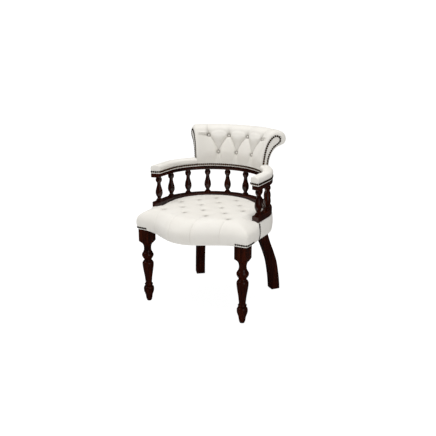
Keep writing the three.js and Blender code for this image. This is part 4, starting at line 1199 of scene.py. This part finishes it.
def besideHeight(size, aside, fall, climb):
    # beside the outer buttons the face runs on to the edge, but for a pleat over the roll
    arch = np.clip(fall, 0.0, 1.0) ** (size["besideArch"] * size["archPower"])
    start = 1 - (1 - arch) * (1 - climb) ** size["climbEase"]
    reach = np.where(fall > 0, *size["besideReach"])
    return start + (1 - start) * (1 - falloff(aside, reach, size["besidePower"]))


def gullyShadeOver(size, flat, spot):
    # painted shade in a strip over an upper button, along its gully, that widens and fades on its way
    # up
    above = flat[:, 1] - spot[1]
    up = np.maximum(above, 0.0)
    start, spread = size["gullyWidth"]
    return (falloff(flat[:, 0] - spot[0], start + spread * up)
            * smoothStep(above, *size["gullyStart"]) * falloff(up, size["gullyLength"]))


def fanUnder(size, flat, spot, drop):
    # two folds that fan out downward from a lower button
    under = spot[1] - flat[:, 1]
    aways = [flat[:, 0] - spot[0] - lean * under for lean in size["fanLeans"]]
    folds = np.max([falloff(np.sqrt(r * r + size["fanRound"]), size["fanReach"], 1)
                    for r in aways], axis=0)
    return folds * (1 - drop) ** size["fanEase"] * smoothStep(under, *size["fanStart"])


def lipBeside(size, flat, spot):
    # a lip of slack leather from an outer upper button to the edge: a groove under a swelling
    out = (flat[:, 0] - spot[0]) * np.sign(spot[0])
    start, lean = size["lipRise"]
    r = flat[:, 1] - spot[1] - start - lean * out
    below, above = size["lipReach"]
    groove = falloff(np.minimum(r, 0.0), below) * falloff(np.maximum(r, 0.0), above)
    swell, place, reach = size["lipSwell"]
    return (groove - swell * falloff(r - place, reach)) * smoothStep(out, *size["lipStart"])


def backDepth(size, along, up):
    # how far the leather is pressed in, and the painted shade it takes, at lengths along the bend and
    # up
    flat = np.stack([along.ravel(), up.ravel()], 1)
    spots = backTufts(size)
    lowerCount = len(size["tufts"][0][1])
    lower, upper = spots[:lowerCount], spots[lowerCount:]
    across = math.radians(size["tuftAngle"]) * size["face"]
    low, high, last = lower[0, 1], upper[0, 1], upper[:, 0].max()
    top = knotLengths[size["lastPlace"]]
    column = across * (2 * np.round((flat[:, 0] / across - 1) / 2) + 1)
    aside = np.abs(flat[:, 0] - np.clip(column, -last, last))
    outer = np.abs(flat[:, 0]) > last
    fall = (high - flat[:, 1]) / (high - low)
    climb = np.clip((flat[:, 1] - high) / (top - high), 0.0, 1.0) ** size["climbPower"]
    drop = np.clip((low - flat[:, 1]) / low, 0.0, 1.0)
    puff = puffHeight(size, across, aside, fall, climb, drop)
    puff = np.where(outer, besideHeight(size, aside, fall, climb), puff)
    # the slack over each puff folds along an arch from one upper button to the next
    middle = (across - aside) / (size["browWidth"] * across)
    arch = np.sqrt(np.maximum(1 - np.abs(middle) ** size["browPower"], 0.0))
    brow = high + size["browRise"] * arch
    folds = falloff(flat[:, 1] - brow, size["browReach"]) * (np.abs(middle) < 1) * (1 - outer)
    away = nearest(flat, spots)
    gullies = np.max([gullyShadeOver(size, flat, spot) for spot in upper], axis=0)
    fans = np.max([fanUnder(size, flat, spot, drop) for spot in lower], axis=0)
    lip = sum(lipBeside(size, flat, spot) for spot in (upper[0], upper[-1]))
    foot, past, before = size["fade"]
    fade = smoothStep(flat[:, 1], 0.0, foot) * smoothStep(-flat[:, 1], -top - past, -top + before)
    pits = falloff(away, size["pitReach"], size["pitPower"])
    rings = falloff(away, size["ringReach"], size["ringPower"])
    depth = (size["puffDepth"] * (1 - puff) + size["pitDepth"] * pits
             + size["fanDepth"] * fans + size["browDepth"] * folds)
    depth = softLess(depth * fade, size["most"], size["mostBlend"]) + size["lipDepth"] * lip
    creases = size["creaseShade"] * np.maximum(1 - puff, 0.0) ** size["creasePower"]
    shades = [creases, size["ringShade"] * rings, size["gullyShade"] * gullies]
    hollowShade = np.clip(softMore(shades, size["shadePower"]) * fade, 0, 1)
    return depth.reshape(along.shape), hollowShade.reshape(along.shape)


def endRows(line, inward, drawIn, inside, slide):
    # the rows of both ends: the line drawn in along its normals, each point slid to its plane
    drawn = line[None] + inward[None] * drawIn[..., None]
    stop = withInside(drawn, inside)
    end = gallery["backAngle"]
    return carried(stop, -end, -slide)[::-1], carried(stop, end, slide)


def backGrid(size):
    # the face line carried round the bend, pressed in along its normals; a quarter circle rounds
    # each end from the face into the end plane
    end = math.radians(gallery["backAngle"]) * size["face"]
    angles = np.linspace(-gallery["backAngle"], gallery["backAngle"], size["stations"])[:, None]
    along = np.radians(angles) * size["face"]
    depth, hollowShade = backDepth(size, along + 0 * faceLengths, faceLengths + 0 * angles)
    depth = depth * smoothStep(end - np.abs(along), *size["endFade"])
    line = faceLine[None] + faceInward[None] * depth[..., None]
    inside = np.array(size["roomLine"])
    lengths = lengthsAlong(inside)
    inside = atLengths(inside, lengths, np.linspace(0.0, lengths[-1], size["lineCount"]))[::-1]
    body = carried(withInside(line, inside), angles)
    turns = quarter(size["endRows"])[1:, None]
    slide = size["endPlane"] - endRounding * (1 - np.sin(turns))
    inner = np.broadcast_to(size["endPlane"] * np.sin(turns), slide.shape)
    low, high = endRows(faceLine, faceInward, endRounding * (1 - np.cos(turns)), inside,
                        np.concatenate([slide, inner], 1))
    # the body's last rows stop short of where each quarter circle begins
    most = end - endRounding.max() + size["endPlane"] - size["endGap"]
    keep = np.abs(angles[:, 0]) * math.radians(size["face"]) < most
    blank = np.zeros((size["endRows"] - 1, body.shape[1]))
    hollowShade = np.concatenate([hollowShade, 0 * hollowShade], 1)[keep]
    return np.concatenate([low, body[keep], high]), np.concatenate([blank, hollowShade, blank])


grid, hollowShade = backGrid(back)
cushion = makeBody("buttoned_back", grid, leather, "zip", {"hollowShade": hollowShade}, 75)
fit(cushion, ["back_cushion"])

outsideBack = {
    "foot": 300.37, "thickness": 2.9, "drawShare": 0.9, "boardOuter": 294.3, "boardTop": 666.6,
    "lineCount": 90, "stations": 200, "endRounding": 5.0, "endPlane": 5.0, "endRows": 8, "fill": 0.3,
    "swell": 1.2, "swellPower": 0.6, "slack": [(0.7, 90.0, 21), (0.3, 33.0, 22)],
    "line": [(300.37, 645.3), (300.9, 655.2), (300.0, 672.0), (300.0, 693.9), (303.5, 712.5),
             (312.5, 739.2), (326.5, 760.5), (343.5, 774.3), (360.0, 781.5)],
}


def outsideBackGrid(size):
    # the rear line carried round the bend as a thin pad, rounded into the end planes
    line = lineThrough(size["line"], size["lineCount"])
    normals = lineNormals(line)
    inward = normals * -np.sign(normals[len(normals) // 2, 0])
    inside = line + inward * size["thickness"]
    inside[inside[:, 1] < size["boardTop"], 0] = size["boardOuter"]
    inside = inside[::-1]
    angles = np.linspace(-gallery["backAngle"], gallery["backAngle"], size["stations"])[1:-1, None]
    share = np.linspace(0.0, 1.0, size["lineCount"])[None, :]
    place = carried(line[None] + 0 * angles[..., None], angles)
    wave = sum(slackOf(place.reshape(-1, 3), size["slack"])).reshape(place.shape[:2])
    swell = (size["swell"] + wave) * np.sin(math.pi * share) ** size["swellPower"]
    rows = withInside(line[None] - inward[None] * swell[..., None], inside)
    turns = quarter(size["endRows"])[1:, None]
    reach = np.minimum(size["endRounding"], size["thickness"] * size["drawShare"])
    slide = size["endPlane"] - size["endRounding"] * (1 - np.sin(turns)) + np.zeros((1, rows.shape[1]))
    low, high = endRows(line, inward, reach * (1 - np.cos(turns)) + 0 * share, inside, slide)
    return np.concatenate([low, carried(rows, angles), high])


fit(makeBody("plain_outside_back", outsideBackGrid(outsideBack), leather, "zip", sharpAngle=75),
    ["outside_back"])
print("back made")


facing = {
    # the row of nails as radius and height, up the front, over the head and down the rear
    "nailLine": [
        (268.8, 668.0), (270.7, 691.4), (275.6, 728.2), (284.4, 768.2), (299.0, 800.4), (317.8, 821.4),
        (335.1, 829.0), (350.8, 823.6), (357.1, 810.5), (354.0, 799.0), (345.0, 791.0), (324.9, 776.2),
        (308.1, 752.3), (297.1, 727.0), (290.0, 690.3), (288.6, 668.0),
    ],
    # the plate's edges, both from the foot to the head
    "frontLine": [(265.6, 665.6), (267.6, 691.4), (272.5, 728.8), (281.4, 769.4), (296.5, 802.6),
                  (316.2, 824.6), (335.1, 833.0)],
    "rearLine": [(299.2, 665.6), (299.0, 693.9), (302.4, 712.8), (311.4, 739.8), (325.4, 761.3),
                 (342.4, 775.3), (356.0, 784.5), (361.5, 799.0), (361.8, 812.0), (353.5, 827.5),
                 (335.1, 833.0)],
    "slide": 5.05, "dome": 1.7, "domePower": 4, "domeWidth": 8.0, "sunk": 0.6,
    "stations": 120, "levels": 14, "fill": 0.2,
}


def facingGrid(size):
    # rulings between the two lines, domed by 1 - (2w - 1)^domePower across, less where they meet
    front = lineThrough(size["frontLine"], size["stations"])
    rear = lineThrough(size["rearLine"], size["stations"])
    w = np.linspace(0.0, 1.0, size["levels"])[None, :, None]
    face = front[:, None] * (1 - w) + rear[:, None] * w
    width = np.linalg.norm(front - rear, axis=1)[:, None]
    dome = 1 - (2 * w[..., 0] - 1) ** size["domePower"]
    dome = dome * size["dome"] * np.minimum(1.0, width / size["domeWidth"])
    slide = np.concatenate([size["slide"] + dome, 0 * dome + size["slide"] - size["sunk"]], 1)
    return carried(np.concatenate([face, face[:, ::-1]], 1), gallery["backAngle"], slide)


fitPair("scroll_facing", facingGrid(facing), leather, "leather", "facing", facing["fill"],
        ends="zip", sharpAngle=60)

buttons = {
    "radius": 5.6, "crown": 3.4, "waist": -0.5, "sides": 20, "rings": 7,
    "rise": 1.2, "backRise": 9.0, "shade": 0.35, "fill": 0.9,
}


def frames(normals):
    # two unit vectors square to each normal
    helper = np.where(np.abs(normals[:, 2:3]) > 0.9, [[1.0, 0.0, 0.0]], [[0.0, 0.0, 1.0]])
    first = unit(np.cross(normals, helper))
    return first, np.cross(normals, first)


def domedHeads(places, normals, profile, sides):
    # a turned profile of (radius, height) stood on each place; its last point closes the top
    turn = fullTurn(sides)[None, :, None]
    first, second = frames(normals)
    rings = np.array(profile[:-1])
    circle = first[:, None] * np.cos(turn) + second[:, None] * np.sin(turn)
    points = (places[:, None, None] + circle[:, None] * rings[None, :, 0, None, None]
              + normals[:, None, None] * rings[None, :, 1, None, None])
    tops, feet = (places + normals * height for height in (profile[-1][1], profile[0][1]))
    count = len(rings) * sides
    each = np.concatenate([points.reshape(len(places), count, 3), tops[:, None], feet[:, None]], 1)
    walls = gridFaces(len(rings), sides, True)
    k = np.arange(sides)
    after, last = (k + 1) % sides, (len(rings) - 1) * sides
    top = np.stack([last + k, last + after, np.full(sides, count)], 1)
    base = np.stack([after, k, np.full(sides, count + 1)], 1)
    start = (np.arange(len(places)) * (count + 2))[:, None, None]
    crown = np.concatenate([np.repeat(rings[:, 1], sides), [profile[-1][1], 0.0]]) / profile[-1][1]
    return (each.reshape(-1, 3), [(walls[None] + start).reshape(-1, 4),
            (np.concatenate([top, base])[None] + start).reshape(-1, 3)], np.tile(crown, len(places)))


def addButton(name, node, place, normal):
    # half an ellipse on a short waist
    turns = np.linspace(buttons["waist"], math.pi / 2, buttons["rings"] + 1)
    profile = [(buttons["radius"] * math.cos(t), buttons["crown"] * math.sin(t)) for t in turns]
    points, faceSets, crown = domedHeads(
        np.array([place]), np.array([normal]), profile, buttons["sides"])
    # painted shade: the button goes darker from its crown down to its rim
    button = makeMesh(name, points, faceSets, leather, {"hollowShade": buttons["shade"] * (1 - crown)})
    fit(button, [node])


for number, spot in enumerate(seatTufts(seat)):
    # any height above the pleats' foot gives the depth at a button
    depth = seatDepth(seat, np.array([[spot[0], spot[1], seat["crown"]]]))[0]
    height = seatCrown(seat, spot[0], spot[1]) - depth + buttons["rise"]
    addButton(f"seat_tuft_{number + 1:02d}", f"seat_button_{number + 1:02d}",
              [spot[0], spot[1], height], [0.0, 0.0, 1.0])

for number, (along, up) in enumerate(backTufts(back)):
    depth, _ = backDepth(back, np.array([[along]]), np.array([[up]]))
    index = np.argmin(np.abs(faceLengths - up))
    radius, height = faceLine[index] + faceInward[index] * (depth[0, 0] - buttons["backRise"])
    angle = math.degrees(along / back["face"])
    a = math.radians(angle)
    across, upward = faceInward[index]
    normal = -np.array([across * math.sin(a), across * math.cos(a), upward])
    addButton(f"back_tuft_{number + 1}", f"back_button_{number + 1}",
              onGallery(radius, height, angle), normal)
print("facings and buttons made")


nails = {
    "pitch": 10.8, "sides": 10, "lift": 0.1, "lookAhead": 1.0,
    # radius and height of a head, from its edge to its crown
    "profile": [(5.35, -0.5), (5.25, 0.7), (4.5, 2.0), (2.8, 3.0), (0.0, 3.4)],
    "lineHeight": 653.8, "pastBack": 1.2, "outsideLift": 1.4, "facingLift": 0.9,
    "bandTop": 466.0, "bandBottom": 391.0, "seamLift": 1.0,
    "legHeight": 398.0, "legInset": -4.4, "legFrom": 240.0, "legBack": -176.0,
    "backFine": 200, "loopFine": 300, "seamFine": 40,
}


def evenly(path, pitch):
    # places a pitch apart along a path, centred on it, and its direction from just before each
    # of them to just after
    lengths = lengthsAlong(path)
    count = max(2, int(round(lengths[-1] / pitch)))
    where = (np.arange(count) + 0.5) * lengths[-1] / count
    ahead = nails["lookAhead"]
    along = atLengths(path, lengths, where + ahead) - atLengths(path, lengths, where - ahead)
    return atLengths(path, lengths, where), unit(along)


def nailRow(name, path, facingOut):
    # facingOut is a vector for the whole row, or the side of the path seen from above (+1 left);
    # a row that runs across the chair's middle has no mirror image
    places, along = evenly(path, nails["pitch"])
    if np.ndim(facingOut):
        normals = np.broadcast_to(facingOut, places.shape)
    else:
        normals = unit(np.stack([-along[:, 1], along[:, 0], 0 * along[:, 0]], 1) * facingOut)
    points, faceSets, crown = domedHeads(
        places + normals * nails["lift"], normals, nails["profile"], nails["sides"])
    sides = [("right", points), ("left", mirrored(points))]
    crosses = abs(path[:, 0].mean()) < 1.0
    for side, turned in sides[:1] if crosses else sides:
        fit(makeMesh(f"{name}_{side}", turned, faceSets, brass, {"crown": np.clip(crown, 0, 1)}))


def padPath(size):
    # the pad's nail dip: along its inside, round its front end and back along its outside
    grid, _ = padGrid(size)
    section = padSection(size)
    half = size["lineCount"] // 2
    inside = np.argmin(np.abs(section[:half, 1] - nails["lineHeight"]))
    outside = half + np.argmin(np.abs(section[half:, 1] - nails["lineHeight"]))
    path = np.concatenate([grid[:, inside], grid[::-1, outside]])
    path[:, 2] = nails["lineHeight"]
    return path


nailRow("pad_nails", padPath(armPad), -1.0)

reach = gallery["backAngle"] + nails["pastBack"]
angles = np.linspace(-reach, reach, nails["backFine"])
foot = faceLine[np.argmin(np.abs(faceLine[:, 1] - nails["lineHeight"])), 0]
nailRow("inner_back_nails", onGallery(foot, nails["lineHeight"], angles), -1.0)
foot = outsideBack["foot"] + nails["outsideLift"]
nailRow("outer_back_nails", onGallery(foot, nails["lineHeight"], angles), 1.0)

a = math.radians(gallery["backAngle"])
loop = lineThrough(facing["nailLine"], nails["loopFine"])
slide = facing["slide"] + nails["facingLift"]
nailRow("facing_nails", carried(loop, gallery["backAngle"], slide),
        np.array([math.cos(a), -math.sin(a), 0.0]))

a = math.radians(band["seamAngle"])
heights = np.linspace(nails["bandBottom"], nails["bandTop"], nails["seamFine"])
share = (heights - band["bottom"]) / (band["top"] - band["bottom"])
swell = band["swell"] * np.sin(math.pi * share) ** band["swellPower"] - band["seamDepth"]
nailRow("seam_nails", onGallery(band["outer"] + swell + nails["seamLift"], heights, band["seamAngle"]),
        np.array([math.sin(a), math.cos(a), 0.0]))

sideEnd = seat["frontCount"] + seat["cornerCount"] + seat["sideCount"]
plan = halfPlan(seat, nails["legInset"], 0.0)[:sideEnd]
plan = plan[(plan[:, 0] > nails["legFrom"]) & (plan[:, 1] < nails["legBack"])]
nailRow("leg_nails", np.concatenate([plan, np.full((len(plan), 1), nails["legHeight"])], 1), -1.0)
print("nails made")


room = {
    "floorHalf": 9000.0, "white": 1.13, "shadowShare": 0.15, "bounce": 0.09,
    "ambient": 0.41, "mirrored": 0.02, "pure": (1.0, 1.0, 1.0, 1.0),
    "paint": (0.90, 0.90, 0.90), "mirroredPaint": (0.03, 0.03, 0.03), "aim": (0.0, 0.0, 0.5),
    "lamps": [
        # name, place in metres, size in metres, watts, whether reflections show it
        ("top", (-0.8, -1.0, 9.0), 7.0, 630.0, False),
        ("key", (-2.1, -2.2, 2.6), 1.5, 3.5, True),
        ("fill", (2.6, -1.6, 1.5), 2.2, 7.5, True),
        ("rear", (0.2, 2.4, 2.4), 1.6, 1.5, True),
    ],
    "cameraPlace": (1.3948, -2.50245, 1.2804), "azimuth": 28.77, "pitch": 16.66, "lens": 48.88,
}


def whiteFloor():
    # glows white for the camera, mixed with a share of the light that falls on it, so a shadow
    # stays; other rays see the paint, and a little of the glow unless they are reflections
    finish = Finish("white_floor")
    cameraRay = finish.add("ShaderNodeLightPath", output="Is Camera Ray")
    glossyRay = finish.add("ShaderNodeLightPath", output="Is Glossy Ray")
    paint = finish.blend(glossyRay, room["paint"], room["mirroredPaint"])
    lit = finish.add("ShaderNodeBsdfDiffuse", None, {"Color": paint})
    glow = finish.add("ShaderNodeEmission", None, {"Color": room["pure"], "Strength": room["white"]})
    seen = cameraRay * (1.0 - room["shadowShare"] - room["bounce"])
    mixed = finish.add("ShaderNodeMixShader", None, {
        0: seen + room["bounce"] * (1.0 - glossyRay), 1: lit, 2: glow})
    half = room["floorHalf"]
    corners = np.array([[-half, -half, 0.0], [half, -half, 0.0], [half, half, 0.0], [-half, half, 0.0]])
    return makeMesh("floor", corners, [np.array([[0, 1, 2, 3]])], finish.show(mixed))


def whiteWorld():
    # white to the camera, dim in reflections, a plain light for everything else
    finish = Finish("white_room", bpy.data.worlds)
    seen = finish.add("ShaderNodeLightPath", output="Is Camera Ray")
    glossy = finish.add("ShaderNodeLightPath", output="Is Glossy Ray")
    level = (seen * (room["white"] - room["ambient"]) + room["ambient"]
             + glossy * (room["mirrored"] - room["ambient"]))
    sky = finish.add("ShaderNodeBackground", None, {"Color": room["pure"], "Strength": level})
    bpy.context.scene.world = finish.show(sky, "ShaderNodeOutputWorld")


def setLamps():
    # round area lights that look at the chair's middle
    for name, place, size, watts, reflected in room["lamps"]:
        light = bpy.data.lights.new(name, "AREA")
        light.shape, light.size, light.energy = "DISK", size, watts
        lamp = addObject(name, light)
        lamp.location, lamp.visible_glossy = place, reflected
        sight = Vector(room["aim"]) - lamp.location
        lamp.rotation_euler = sight.to_track_quat("-Z", "Y").to_euler()


def setCamera():
    # the photo's viewpoint; azimuth turns it to the sitter's left, pitch tips it down
    data = bpy.data.cameras.new("camera")
    data.lens = room["lens"]
    camera = addObject("camera", data)
    camera.location = room["cameraPlace"]
    camera.rotation_euler = (math.radians(90.0 - room["pitch"]), 0.0, math.radians(room["azimuth"]))
    bpy.context.scene.camera = camera


whiteFloor()
whiteWorld()
setLamps()
setCamera()
bpy.context.scene.view_settings.view_transform = "Standard"
